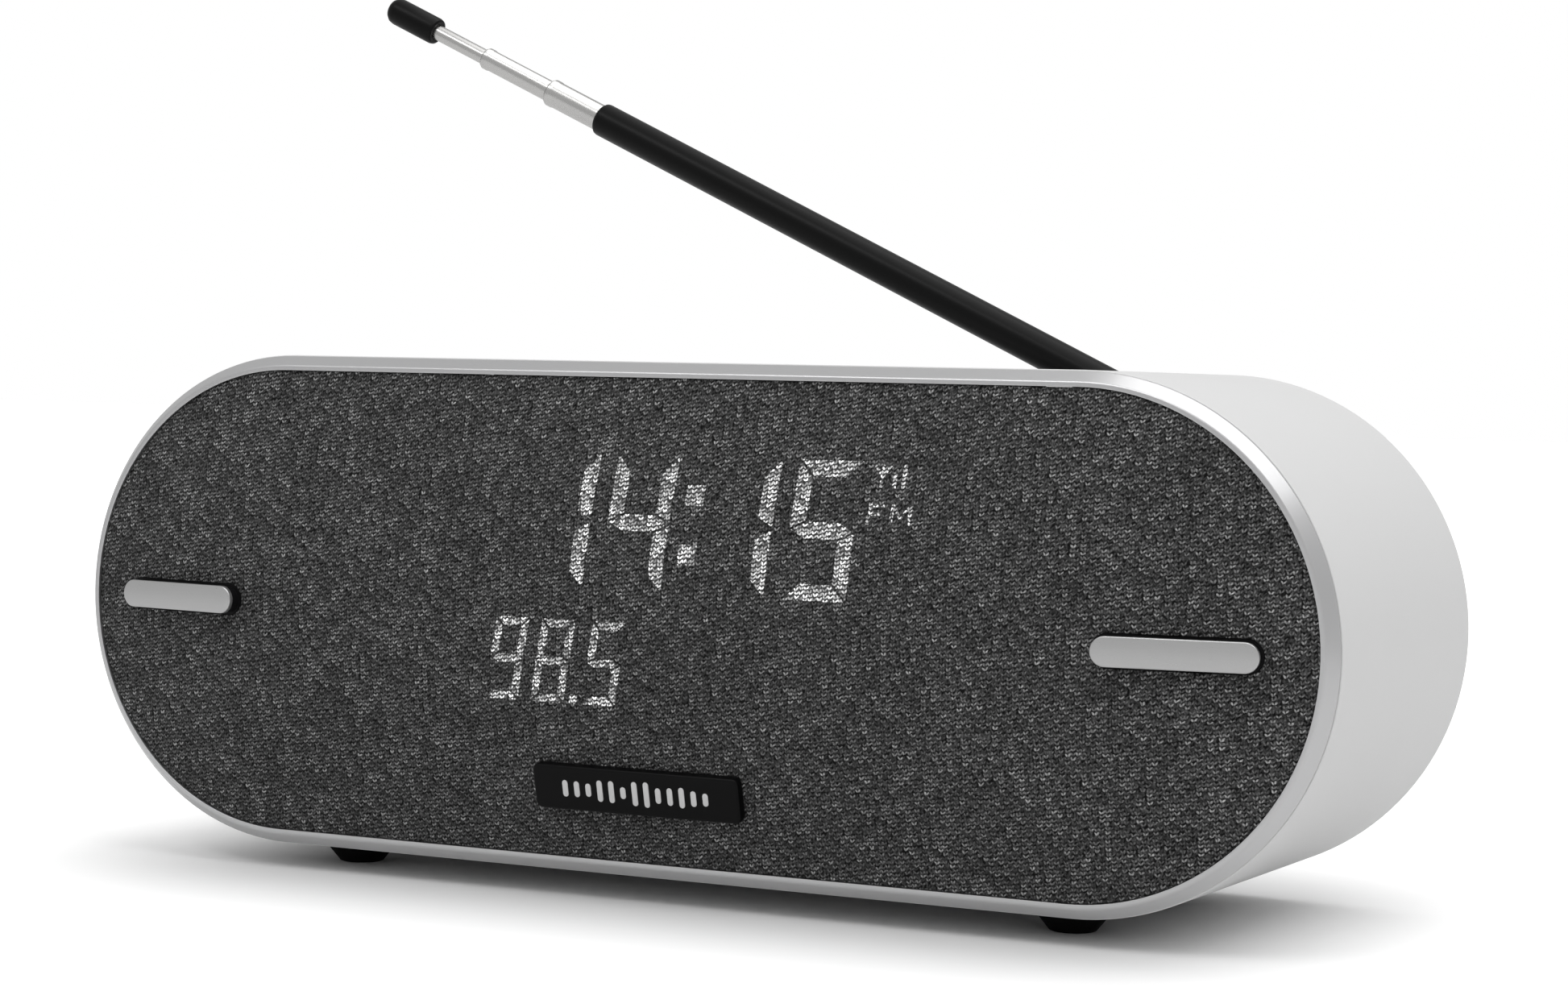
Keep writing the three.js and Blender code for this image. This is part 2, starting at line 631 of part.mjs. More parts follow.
function aerialTurret() {
  const disc = turned([
    [0, -14],
    [TURRET.shaft, -14],
    [TURRET.shaft, DISC.front],
    [TURRET.disc, DISC.front],
    [TURRET.disc, DISC.back],
    [0, DISC.back],
  ], 24);
  const { inner, outer } = CHEEK;
  return join(solid(disc), cheekPlate(-outer, -inner), cheekPlate(inner, outer));
}

const aerialNut = () => {
  const back = COVER.front - GAP - BODY_DEPTH - AERIAL.behind;
  return sleeve(TURRET.shaft + 0.2, TURRET.nut, back - 3, back, 16);
};

const aerialPin = () => upRod(PIN, -CHEEK.outer, CHEEK.outer, 0, 0, 16);

function aerialElbow() {
  const knuckle = solid(upRod(3.7, -3.3, 3.3, 0, 0, 20));
  const neck = solid(rod(2.5, 0, STAGES[0].start + 4, 0, 0, 16).rotateZ(-PI / 2));
  const bore = solid(upRod(PIN + 0.2, -9, 9, 0, 0, 16));
  return cut(join(knuckle, neck), bore);
}

/** A stage of the rod, drawn along x. */
function stage({ outer, bore, start, end }) {
  const profile = bore
    ? [[bore, start], [outer, start], [outer, end], [bore, end], [bore, start]]
    : [[0, start], [outer, start], [outer, end], [0, end]];
  return turned(profile, 20).rotateZ(-PI / 2);
}

const aerialTip = () => turned([
  [0, STAGES[3].end + 0.2],
  [STAGES[3].outer + 0.2, STAGES[3].end + 0.2],
  [STAGES[3].outer + 0.2, TIP.start],
  [TIP.radius - 0.3, TIP.start],
  [TIP.radius, TIP.start + 0.4],
  [TIP.radius, TIP.end - 1],
  [TIP.radius - 0.8, TIP.end - 0.2],
  [0, TIP.end],
], 14).rotateZ(-PI / 2);

// ---------------------------------------------------------------- assembly
add(body, "housing_sleeve", housingSleeve(), WHITE);
add(body, "front_bezel", frontBezel(), SILVER);
add(body, "front_baffle", frontBaffle(), BLACK);
add(body, "speaker_cloth", speakerCloth(), CLOTH);
add(body, "badge_plate", badgePlate(), BLACK);

for (const [side, word] of [[-1, "left"], [1, "right"]]) {
  add(body, `front_key_${word}`, keyCap(side), SILVER);
  add(body, `front_key_carrier_${word}`, keyCarrier(side), BLACK);
  add(body, `front_switch_board_${word}`, keySwitchBoard(side), GREEN);
}

add(body, "display_mask", displayMask(), BLACK);
add(body, "display_board", displayBoard(), MILKY);
add(body, "display_ribbon", displayRibbon(), MILKY);

add(body, "driver_gasket", driverGasket(), RUBBER);
add(body, "driver_basket", driverBasket(), STEEL);
add(body, "driver_magnet", driverMagnet(), FERRITE);
add(body, "driver_surround", driverSurround(), RUBBER);
add(body, "driver_cone", driverCone(), PAPER);

add(body, "top_key_panel", topKeyPanel(), BLACK);
add(body, "top_key_board", topKeyBoard(), GREEN);
const [snoozeOutline, ...roundOutlines] = topKeyOutlines(0);
const [snoozeSkirt, ...roundSkirts] = topKeyOutlines(2);
add(body, "snooze_bar", topKey(snoozeOutline, snoozeSkirt), SILVER);
roundOutlines.forEach((outline, i) => add(body, `top_key_${i + 1}`, topKey(outline, roundSkirts[i]), SILVER));

add(body, "main_board", mainBoard(), GREEN);
add(body, "tuner_can", tunerCan(), STEEL);
add(body, "heat_sink", heatSink(), BLACK);
add(body, "reservoir_capacitor", capacitor(), BLACK);
for (const socket of JACKS) add(body, socket.name, jack(socket), BLACK);
BOARD_POSTS.forEach(([x, y], i) => {
  add(body, `board_screw_${i + 1}`, screw(8).rotateX(PI / 2).translate(x, y, ON_BOARD), STEEL);
});
const speakerRoute = [[-38, 24, -8], [-34, 28, -10], [-28, 30, -15], [-22, 31, ON_BOARD + 1.2]];
add(body, "speaker_lead", wire(speakerRoute, 0.8), RUBBER);
const aerialRoute = [[68, 57, 22], [66, 52, 10], [58, 46, -4], [48, 40, ON_BOARD + 7.4]];
add(body, "aerial_lead", wire(aerialRoute, 0.8), BLACK);

add(body, "rear_cover", rearCover(), WHITE);
add(body, "rating_label", ratingLabel(), SILVER);
COVER_POSTS.forEach(([x, z], i) => {
  add(body, `rear_screw_${i + 1}`, screw(10).translate(x, COVER.back - SCREW.headHigh, z), STEEL);
});

footPlaces().forEach(([x, y], i) => {
  const profile = [[0, -MIDDLE], [FEET.bottom, -MIDDLE], [FEET.top, -RADIUS], [FEET.top, -RADIUS + 0.5],
    [0, -RADIUS + 0.5]];
  add(body, `foot_${i + 1}`, turned(profile, 20).rotateX(PI / 2).translate(x, y, 0), RUBBER);
});

const aerial = new THREE.Group();
aerial.position.set(AERIAL.x, BODY_DEPTH + AERIAL.behind, AERIAL.z);
aerial.rotation.y = PI + THREE.MathUtils.degToRad(AERIAL.angle);
body.add(aerial);
add(aerial, "aerial_turret", aerialTurret(), BLACK);
add(aerial, "aerial_nut", aerialNut(), STEEL);
add(aerial, "aerial_pin", aerialPin(), STEEL);
add(aerial, "aerial_elbow", aerialElbow(), STEEL);
STAGES.forEach((s, i) => add(aerial, `aerial_stage_${i + 1}`, stage(s), i ? STEEL : BLACK));
add(aerial, "aerial_tip", aerialTip(), BLACK);

export default radio;
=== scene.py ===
"""Looks of a tabletop radio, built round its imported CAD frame.

Lengths in this script are millimetres, drawn round the case's middle: x to the right seen from the
front, y = depth behind the front lip, z up. BODY turns them into the frame's metres.
"""
import json
import math

import bmesh
import bpy
from mathutils import Matrix, Vector


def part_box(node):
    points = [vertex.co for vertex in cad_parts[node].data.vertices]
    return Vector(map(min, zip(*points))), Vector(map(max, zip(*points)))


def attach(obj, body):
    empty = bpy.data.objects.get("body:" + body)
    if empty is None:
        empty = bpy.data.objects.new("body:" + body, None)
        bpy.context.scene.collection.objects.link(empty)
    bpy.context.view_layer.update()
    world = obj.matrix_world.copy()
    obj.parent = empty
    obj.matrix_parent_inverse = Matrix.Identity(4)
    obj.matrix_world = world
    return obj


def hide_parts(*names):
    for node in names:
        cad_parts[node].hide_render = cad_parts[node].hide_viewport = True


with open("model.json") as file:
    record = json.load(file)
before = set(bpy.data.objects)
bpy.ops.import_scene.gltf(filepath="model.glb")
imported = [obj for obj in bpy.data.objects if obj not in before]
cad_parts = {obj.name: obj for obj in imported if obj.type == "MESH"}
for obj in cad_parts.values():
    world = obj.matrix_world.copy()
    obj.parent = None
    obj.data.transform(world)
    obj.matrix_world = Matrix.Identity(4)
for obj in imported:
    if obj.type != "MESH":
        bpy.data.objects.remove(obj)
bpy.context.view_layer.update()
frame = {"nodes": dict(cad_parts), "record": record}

MM = 0.001


# ---------------------------------------------------------------- sizes, from the frame
def extent(node):
    """Lowest and highest corner of a CAD node, in the frame's millimetres."""
    low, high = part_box(node)
    return low / MM, high / MM


SLEEVE_LOW, SLEEVE_HIGH = extent("housing_sleeve")
LIP = extent("front_bezel")[0].y
RADIUS = (SLEEVE_HIGH.z - SLEEVE_LOW.z) / 2
MIDDLE = (SLEEVE_HIGH.z + SLEEVE_LOW.z) / 2
HALF = SLEEVE_HIGH.x - RADIUS  # half the straight part of the stadium
BACK = SLEEVE_HIGH.y - LIP  # depth of the case's back edge
BODY = Matrix.Scale(MM, 4) @ Matrix.Translation((0, LIP, MIDDLE))

CLOTH_EDGE = 0.35  # depth of the cloth's edge
CLOTH_THICK = 0.6
HEM = 4.2  # how far the cloth's hem turns back round the baffle
HEM_TURN = 0.25  # radius of the turn into the hem
CLOTH_RADIUS = extent("speaker_cloth")[1].x - HALF
CROWN = CLOTH_EDGE + LIP - extent("speaker_cloth")[0].y
CROWN_SPREAD = 151  # along x the crown fades as 1 - (x / CROWN_SPREAD)^2

KEY_LENGTH, KEY_HEIGHT, KEY_PROUD = 24.5, 4.5, 2.0
KEY_OPENING = 0.7  # the cloth's opening is this much longer and higher than the key
CAP_THICK = 0.75  # of a front key's silver plate, on its black carrier
KEY_X = sum(corner.x for corner in extent("front_key_right")) / 2


def crown(x, z):
    """How far the cloth stands forward of its edge."""
    beyond = max(abs(x) - HALF, 0)
    share = min(1, (beyond ** 2 + z ** 2) / CLOTH_RADIUS ** 2)
    return CROWN * (1 - share) * (1 - (x / CROWN_SPREAD) ** 2)


def slope(x, z, dx, dz):
    """Angle at which the cloth falls away along (dx, dz)."""
    return math.atan((crown(x - dx, z - dz) - crown(x + dx, z + dz)) / 2)


# ---------------------------------------------------------------- outlines and profiles
def fillet(points, radii, steps=4):
    """A closed 2-D polygon with its corners rounded; radii is one radius for each corner."""
    rounded = []
    for i, (corner, radius) in enumerate(zip(points, radii)):
        here = Vector(corner)
        before = Vector(points[i - 1]) - here
        after = Vector(points[(i + 1) % len(points)]) - here
        if radius <= 0:
            rounded.append(tuple(here))
            continue
        half_angle = before.angle(after) / 2
        reach = min(radius / math.tan(half_angle), before.length * 0.49, after.length * 0.49)
        start, end = here + before.normalized() * reach, here + after.normalized() * reach
        for k in range(steps + 1):
            t = k / steps
            point = start * (1 - t) ** 2 + here * 2 * t * (1 - t) + end * t ** 2
            rounded.append(tuple(point))
    return rounded


def arc(cx, cz, radius, start, end, steps):
    """Points of an arc, angles in degrees."""
    turns = [math.radians(start + (end - start) * i / steps) for i in range(steps + 1)]
    return [(cx + radius * math.cos(a), cz + radius * math.sin(a)) for a in turns]


def obround(length, height, steps=20):
    """Two straight sides and two round ends, lying along x."""
    r, half = height / 2, (length - height) / 2
    return arc(half, 0, r, -90, 90, steps) + arc(-half, 0, r, 90, 270, steps)


def rounded_rectangle(width, height, r, steps=6):
    w, h = width / 2 - r, height / 2 - r
    corners = ((w, -h, -90), (w, h, 0), (-w, h, 90), (-w, -h, 180))
    return [p for x, z, start in corners for p in arc(x, z, r, start, start + 90, steps)]


def circle(radius, steps=40):
    return arc(0, 0, radius, 0, 360, steps)[:-1]


def stadium(arc_steps=64, straight_steps=24):
    """Directions round the case: (x of the arc's centre, cos, sin)."""
    round_trip = []
    for side in (1, -1):
        for i in range(arc_steps + 1):
            a = -side * math.pi / 2 + math.pi * i / arc_steps
            round_trip.append((side * HALF, math.cos(a), math.sin(a)))
        for i in range(1, straight_steps):
            round_trip.append((side * HALF * (1 - 2 * i / straight_steps), 0.0, side))
    return round_trip


# ---------------------------------------------------------------- meshes
def loft(rings, closed=False):
    """Vertices and faces through rings of equally many points, capped unless closed on itself."""
    count = len(rings[0])
    verts = [tuple(p) for ring in rings for p in ring]
    faces = []
    for k in range(len(rings) if closed else len(rings) - 1):
        near, far = k * count, ((k + 1) % len(rings)) * count
        for i in range(count):
            j = (i + 1) % count
            faces.append((near + i, near + j, far + j, far + i))
    if not closed:
        faces.append(tuple(range(count)))
        faces.append(tuple(range(len(verts) - 1, len(verts) - 1 - count, -1)))
    return verts, faces


def joined(*parts):
    """Several (vertices, faces) as one."""
    verts, faces = [], []
    for part_verts, part_faces in parts:
        base = len(verts)
        verts += part_verts
        faces += [tuple(base + i for i in face) for face in part_faces]
    return verts, faces


def moved(part, matrix):
    """(vertices, faces) put through a matrix."""
    verts, faces = part
    return [tuple(matrix @ Vector(v)) for v in verts], faces


def sweep(profile, closed=True):
    """A (radius, depth) profile swept round the stadium, closed on itself or capped at both ends."""
    outline = stadium()
    return loft([[(c + r * ca, y, r * sa) for c, ca, sa in outline] for r, y in profile], closed)


def slab(outline_at, front, back, edge=0.4, steps=4):
    """An outline extruded from front to back with its front edge rounded.

    outline_at(inset) gives the outline pulled in by that much."""
    rings = [(edge * (1 - math.sin(a)), front + edge * (1 - math.cos(a)))
             for a in (math.pi / 2 * i / steps for i in range(steps + 1))]
    rings.append((0, back))
    return loft([[(x, y, z) for x, z in outline_at(inset)] for inset, y in rings])


def stepped(outline_of, steps):
    """An outline carried along y; steps are (how much it is grown there, y)."""
    return loft([[(x, y, z) for x, z in outline_of(grow)] for grow, y in steps])


def turned(profile, steps=40):
    """A (radius, y) profile turned about y. It closes on itself, or is capped at both ends."""
    closed = profile[0] == profile[-1]
    ring_radii = profile[:-1] if closed else profile
    rings = [[(x, y, z) for x, z in circle(r, steps)] for r, y in ring_radii]
    return loft(rings, closed)


def box(low, high):
    """A block between two opposite corners."""
    (x0, y0, z0), (x1, y1, z1) = low, high
    rings = [[(x0, y, z0), (x1, y, z0), (x1, y, z1), (x0, y, z1)] for y in (y0, y1)]
    return loft(rings)


ALONG_X = Matrix.Rotation(-math.pi / 2, 4, "Z")  # turns a piece drawn along y to lie along x
UPRIGHT = Matrix.Rotation(math.pi / 2, 4, "X")  # and to stand up


def finish_mesh(piece, smooth_angle=35):
    """Merges doubled points, faces out, and shades smooth between soft edges."""
    mesh = bmesh.new()
    mesh.from_mesh(piece.data)
    bmesh.ops.remove_doubles(mesh, verts=mesh.verts, dist=1e-8)
    bmesh.ops.dissolve_degenerate(mesh, edges=mesh.edges, dist=1e-8)
    bmesh.ops.recalc_face_normals(mesh, faces=mesh.faces)
    mesh.to_mesh(piece.data)
    mesh.free()
    piece.data.shade_smooth()
    piece.data.set_sharp_from_angle(angle=math.radians(smooth_angle))


def solid(name, part, matrix):
    """A new object from (vertices, faces) and the matrix that puts it in the frame."""
    verts, faces = part
    mesh = bpy.data.meshes.new(name)
    mesh.from_pydata(verts, [], faces)
    mesh.transform(matrix)
    made = bpy.data.objects.new(name, mesh)
    bpy.context.scene.collection.objects.link(made)
    finish_mesh(made)
    return made


def carve(piece, tools):
    """Takes the tools' shapes out of a piece, and removes the tools."""
    for tool in tools:
        step = piece.modifiers.new("cut", "BOOLEAN")
        step.object, step.operation, step.solver = tool, "DIFFERENCE", "EXACT"
    graph = bpy.context.evaluated_depsgraph_get()
    carved = bpy.data.meshes.new_from_object(piece.evaluated_get(graph))
    piece.modifiers.clear()
    piece.data = carved
    for tool in tools:
        bpy.data.objects.remove(tool)
    finish_mesh(piece)


def make(name, part, material, matrix=BODY, body="root", replaces=(), cutters=()):
    """A finished piece on its body. cutters are (vertices, faces) to take out of it."""
    piece = solid(name, part, matrix)
    if cutters:
        carve(piece, [solid(f"{name}_cutter", cutter, matrix) for cutter in cutters])
    piece.data.materials.clear()
    piece.data.materials.append(material)
    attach(piece, body)
    if replaces:
        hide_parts(*replaces)
    return piece


# ---------------------------------------------------------------- shader helpers
class Shader:
    """A material with a Principled shader and short ways to add nodes to it."""

    def __init__(self, name, color, roughness, metallic=0.0, **sockets):
        self.material = bpy.data.materials.new(name)
        self.material.use_nodes = True
        self.tree = self.material.node_tree
        self.surface = self.tree.nodes["Principled BSDF"]
        self.set("Base Color", (*color, 1))
        self.set("Roughness", roughness)
        self.set("Metallic", metallic)
        for socket, value in sockets.items():
            self.set(socket.replace("_", " "), value)
        self.material.diffuse_color = (*color, 1)

    def set(self, socket, value):
        """Sets a Principled socket to a number or colour, or links an output to it."""
        target = self.surface.inputs[socket]
        if isinstance(value, bpy.types.NodeSocket):
            self.tree.links.new(value, target)
        else:
            target.default_value = value

    def node(self, kind, **inputs):
        """Adds a node. Inputs go by name, or by number as _0, _1 and so on."""
        made = self.tree.nodes.new(kind)
        for key, value in inputs.items():
            target = made.inputs[int(key[1:])] if key[0] == "_" else made.inputs[key]
            if isinstance(value, bpy.types.NodeSocket):
                self.tree.links.new(value, target)
            else:
                target.default_value = value
        return made

    def math(self, operation, a, b=0.0, c=0.0):
        """A sum, product or other operation on up to three values."""
        made = self.node("ShaderNodeMath", _0=a, _1=b, _2=c)
        made.operation = operation
        return made.outputs[0]

    def place(self):
        """The piece's own coordinates in millimetres: as a vector, x, y and z."""
        coordinates = self.tree.nodes.new("ShaderNodeTexCoord").outputs["Object"]
        scaled = self.node("ShaderNodeVectorMath", _0=coordinates, _1=(1 / MM, 1 / MM, 1 / MM))
        scaled.operation = "MULTIPLY"
        split = self.node("ShaderNodeSeparateXYZ", _0=scaled.outputs[0])
        return scaled.outputs[0], split.outputs[0], split.outputs[1], split.outputs[2]

    def noise(self, vector, scale, detail=2.0):
        """Noise, with scale in waves per millimetre."""
        return self.node("ShaderNodeTexNoise", Vector=vector, Scale=scale, Detail=detail).outputs["Fac"]

    def ramp(self, value, low, high, to_low=0.0, to_high=1.0):
        """A straight ramp from one range to another, held level outside it."""
        made = self.node("ShaderNodeMapRange", _0=value, _1=low, _2=high, _3=to_low, _4=to_high)
        return made.outputs[0]

    def mix(self, share, a, b):
        """Mixes two colours."""
        made = self.tree.nodes.new("ShaderNodeMix")
        made.data_type = "RGBA"
        for target, value in ((made.inputs[0], share), (made.inputs[6], a), (made.inputs[7], b)):
            if isinstance(value, bpy.types.NodeSocket):
                self.tree.links.new(value, target)
            else:
                target.default_value = value if isinstance(value, float) else (*value, 1)
        return made.outputs[2]

    def grey(self, value):
        """A colour with the same value in all three channels."""
        return self.node("ShaderNodeCombineColor", _0=value, _1=value, _2=value).outputs[0]

    def bump(self, height, depth):
        """Relief of that many millimetres."""
        made = self.node("ShaderNodeBump", Strength=1.0, Distance=depth * MM, Height=height)
        self.set("Normal", made.outputs[0])


def grained(name, color, roughness, metallic=0.0, grain=6.0, relief=0.01, spread=0.08, **sockets):
    """A moulded or blasted surface: fine relief, with slightly uneven colour and gloss."""
    shader = Shader(name, color, roughness, metallic, **sockets)
    spot = shader.place()[0]
    fine = shader.noise(spot, grain, 3.0)
    broad = shader.noise(spot, 0.05)
    darker = tuple(c * (1 - spread) for c in color)
    shader.set("Base Color", shader.mix(broad, darker, color))
    shader.set("Roughness", shader.ramp(fine, 0.3, 0.7, roughness - 0.05, roughness + 0.07))
    shader.bump(fine, relief)
    return shader.material


# ---------------------------------------------------------------- the knitted cloth
WALE = 0.8  # distance between two columns of stitches
COURSE = 0.625  # distance between two stitches of a column
SKEW = 0.125  # a course climbs by this much from one column to the next
CLIMB = SKEW / WALE
LEG_ASIDE, LEG_WIDTH, LEG_LENGTH = 0.19, 0.42, 0.60  # the grain of yarn that is half a stitch
STRAY = 0.3  # how far a stitch may stray from its place, as a share of the chequer's cell
WANDER = 0.48  # span of the soft waves in the columns and courses
UNDER_WAVES, UNDER_GREY = (2.4, 1.1), 0.08  # the yarn seen between the stitches, in waves per millimetre
PALE_YARN = (0.36, 0.11)  # how far the light stitches' brightness varies, and from where
DEEP_YARN = (0.17, 0.035)  # and the dark ones'
PALE_GLOW, DEEP_GLOW = (0.35, 1.4), (0.1, 0.8)  # least and most light through either yarn


class Knit(Shader):
    """Two-tone knit: V stitches in a chequer of light heather and dark yarn, with painted shade where each
    stitch falls away into the gaps.
    """

    def stitches(self, x, z, lift):
        """One of the chequer's two sets of stitches, lifted by so much.

        Returns the height of the yarn, 0 to 1, and two random numbers for each stitch."""
        m = self.math
        z = m("SUBTRACT", z, lift)
        across = m("MULTIPLY", x, 1 / (2 * WALE))
        along = m("MULTIPLY", m("SUBTRACT", z, m("MULTIPLY", x, CLIMB)), 1 / (2 * COURSE))
        total, difference = m("ADD", across, along), m("SUBTRACT", across, along)
        grid = self.node("ShaderNodeCombineXYZ", _0=total, _1=difference)
        cells = self.node("ShaderNodeTexVoronoi", Vector=grid.outputs[0], Scale=1.0, Randomness=STRAY)
        cells.voronoi_dimensions = "2D"
        spot = self.node("ShaderNodeSeparateXYZ", _0=cells.outputs["Position"])
        chance = self.node("ShaderNodeSeparateColor", _0=cells.outputs["Color"])
        spot_across = m("MULTIPLY", m("ADD", spot.outputs[0], spot.outputs[1]), 0.5)
        spot_along = m("MULTIPLY", m("SUBTRACT", spot.outputs[0], spot.outputs[1]), 0.5)
        dx = m("MULTIPLY", m("SUBTRACT", across, spot_across), 2 * WALE)
        dz = m("MULTIPLY", m("SUBTRACT", along, spot_along), 2 * COURSE)
        dz = m("ADD", dz, m("MULTIPLY", dx, CLIMB))
        return self.stitch(dx, dz, chance.outputs[2]), chance.outputs[0], chance.outputs[1]

    def stitch(self, dx, dz, chance):
        """Height of a V of yarn round its middle: two grains that part towards the top."""
        m = self.math
        lean = m("ADD", m("MULTIPLY", m("SUBTRACT", chance, 0.5), 0.4), 0.1)
        dx = m("SUBTRACT", dx, m("MULTIPLY", dz, lean))
        right = m("GREATER_THAN", dx, 0.0)
        tilt = m("ADD", m("MULTIPLY", chance, 0.25), 0.4)
        aside = m("SUBTRACT", m("SUBTRACT", m("ABSOLUTE", dx), LEG_ASIDE), m("MULTIPLY", dz, tilt))
        off = m("DIVIDE", aside, LEG_WIDTH / 2)
        along = m("DIVIDE", m("SUBTRACT", dz, m("MULTIPLY", right, 0.06)), LEG_LENGTH / 2)
        inside = m("SUBTRACT", 1.0, m("ADD", m("MULTIPLY", off, off), m("MULTIPLY", along, along)))
        return self.ramp(inside, 0.0, 0.85)

    def yarn(self, height, tone, thickness, brightness):
        """Brightness of one set of stitches; its two random numbers set how far it varies. It is scaled by
        the yarn's height, which darkens each grain towards its edges: painted shade of the round yarn, over
        the yarn's own tone.
        """
        spread, least = brightness
        m = self.math
        varied = m("MULTIPLY", m("MULTIPLY", tone, thickness), spread)
        return m("MULTIPLY", height, m("ADD", varied, least))


def knit(name, lit):
    """The cloth's material. lit is the strength of the light that shines through it."""
    shader = Knit(name, (0.1, 0.1, 0.1), 0.85, Specular_IOR_Level=0.2)
    m = shader.math
    spot, x, _, z = shader.place()

    def wander(scale):
        """A soft shift to either side, so that the columns of stitches aren't dead straight."""
        return m("MULTIPLY", m("SUBTRACT", shader.noise(spot, scale), 0.5), WANDER)

    x, z = m("ADD", x, wander(0.7)), m("ADD", z, wander(0.9))
    pale, pale_tone, pale_thickness = shader.stitches(x, z, 0.0)
    deep, deep_tone, deep_thickness = shader.stitches(x, z, COURSE)
    fibre = shader.ramp(shader.noise(spot, 3.5, 3.0), 0.3, 0.7, 0.45, 1.55)
    patch = shader.ramp(shader.noise(spot, 0.14, 3.0), 0.3, 0.7, 0.85, 1.15)
    mottle = m("MULTIPLY", fibre, patch)
    # yarn follows the stitches' height, so the cloth darkens into the gaps between stitches: painted shade,
    # over the chequer's own two tones
    yarn = m("MAXIMUM", shader.yarn(pale, pale_tone, pale_thickness, PALE_YARN),
             shader.yarn(deep, deep_tone, deep_thickness, DEEP_YARN))
    across, along = m("MULTIPLY", x, UNDER_WAVES[0]), m("MULTIPLY", z, UNDER_WAVES[1])
    streaks = shader.noise(shader.node("ShaderNodeCombineXYZ", _0=across, _1=along).outputs[0], 1.0)
    under = m("MULTIPLY", shader.ramp(streaks, 0.42, 0.72), UNDER_GREY)
    tone = m("MULTIPLY", m("ADD", m("MAXIMUM", yarn, under), 0.003), mottle)
    shader.set("Base Color", shader.grey(tone))
    relief = m("MAXIMUM", pale, m("MULTIPLY", deep, 0.75))
    shader.set("Roughness", shader.ramp(relief, 0.0, 1.0, 0.95, 0.75))
    shader.bump(relief, 0.14)
    if lit:
        bright = m("MULTIPLY", pale, shader.ramp(pale_tone, 0.0, 1.0, *PALE_GLOW))
        dim = m("MULTIPLY", deep, shader.ramp(deep_tone, 0.0, 1.0, *DEEP_GLOW))
        glow = m("MULTIPLY", m("ADD", m("MAXIMUM", bright, dim), 0.03), fibre)
        shader.set("Emission Color", shader.grey(glow))
        shader.set("Emission Strength", lit)
    return shader.material


def crowned_sheet(ring_steps=30, turn_steps=4):
    """The cloth: a domed sheet whose edge turns through a quarter round into the hem."""
    outline = stadium(arc_steps=40, straight_steps=70)

    def ring(r, lift):
        spots = [(c + r * ca, r * sa) for c, ca, sa in outline]
        return [(x, CLOTH_EDGE - crown(x, z) + lift, z) for x, z in spots]

    face = [CLOTH_RADIUS * math.sin(math.pi / 2 * i / ring_steps) for i in range(ring_steps + 1)]
    turn = [math.pi / 2 * i / turn_steps for i in range(1, turn_steps + 1)]
    rings = [ring(r, 0) for r in face]
    rings += [ring(CLOTH_RADIUS + HEM_TURN * math.sin(a), HEM_TURN * (1 - math.cos(a))) for a in turn]
    rings += [ring(CLOTH_RADIUS + HEM_TURN, HEM), ring(CLOTH_RADIUS + HEM_TURN - CLOTH_THICK, HEM)]
    rings += [ring(r, CLOTH_THICK) for r in reversed(face[:-1])]
    return loft(rings)


# ---------------------------------------------------------------- materials
DULL = {"Specular_IOR_Level": 0.12}  # little gloss, for the black parts
SHELL = grained("shell_white", (0.70, 0.70, 0.70), 0.45, grain=5.0, relief=0.006, spread=0.02)
SILVER = grained("bezel_silver", (0.57, 0.57, 0.575), 0.34, 0.85, grain=5.0, relief=0.003, spread=0.03,
                 Coat_Weight=0.6, Coat_Roughness=0.12)
KEY_SILVER = grained("key_silver", (0.49, 0.49, 0.49), 0.32, 0.85, grain=7.0, relief=0.01, spread=0.03,
                     Coat_Weight=1.0, Coat_Roughness=0.12)
BLACK = grained("black_plastic", (0.006, 0.006, 0.0065), 0.5, grain=5.0, relief=0.01, spread=0.2, **DULL)
BADGE = grained("badge_black", (0.002, 0.002, 0.0022), 0.4, grain=8.0, relief=0.003, spread=0.2, **DULL)
MARKING = grained("badge_marking", (0.66, 0.66, 0.66), 0.5, grain=8.0, relief=0.003)
RUBBER = grained("rubber_black", (0.004, 0.004, 0.004), 0.8, grain=4.0, relief=0.02, spread=0.3, **DULL)
AERIAL_BLACK = grained("aerial_black", (0.004, 0.004, 0.004), 0.34, grain=9.0, relief=0.002, spread=0.2,
                       **DULL)
NICKEL = grained("aerial_chrome", (0.58, 0.575, 0.565), 0.24, 1.0, grain=4.0, relief=0.0015, spread=0.06)
STEEL = grained("steel_plated", (0.58, 0.57, 0.55), 0.3, 1.0, grain=3.0, relief=0.003, spread=0.1)
BRASS = grained("contact_brass", (0.70, 0.58, 0.36), 0.3, 1.0, grain=3.0, relief=0.003, spread=0.1)
LABEL = grained("label_silver", (0.52, 0.53, 0.54), 0.45, 0.3, grain=8.0, relief=0.002, spread=0.03)
CLOTH = knit("speaker_cloth", 0.0)
LIT_CLOTH = knit("lit_cloth", 0.95)


# ---------------------------------------------------------------- case
SEAM = 2.5  # depth of the joint between bezel and sleeve
WALL = 2.4
REBATE_RADIUS, REBATE_END = 38.4, 5.5  # the sleeve's front is bored wider to take the bezel's tongue
TOP_LOW, TOP_HIGH = extent("top_key_panel")
TOP_DEPTH = (TOP_LOW.y + TOP_HIGH.y) / 2 - LIP
TOP_SLOT = (TOP_HIGH.x * 2 - 5, 12.0)  # the sleeve's opening for the top plate
TOP_STAND = Matrix.Translation((0, TOP_DEPTH, 0)) @ Matrix.Rotation(-math.pi / 2, 4, "X")


def upright_slab(outline_at, top, low, edge=0.0):
    """A slab lying flat at the top keys' depth, its rounded edge on top."""
    return moved(slab(outline_at, -top, -low, edge), TOP_STAND)


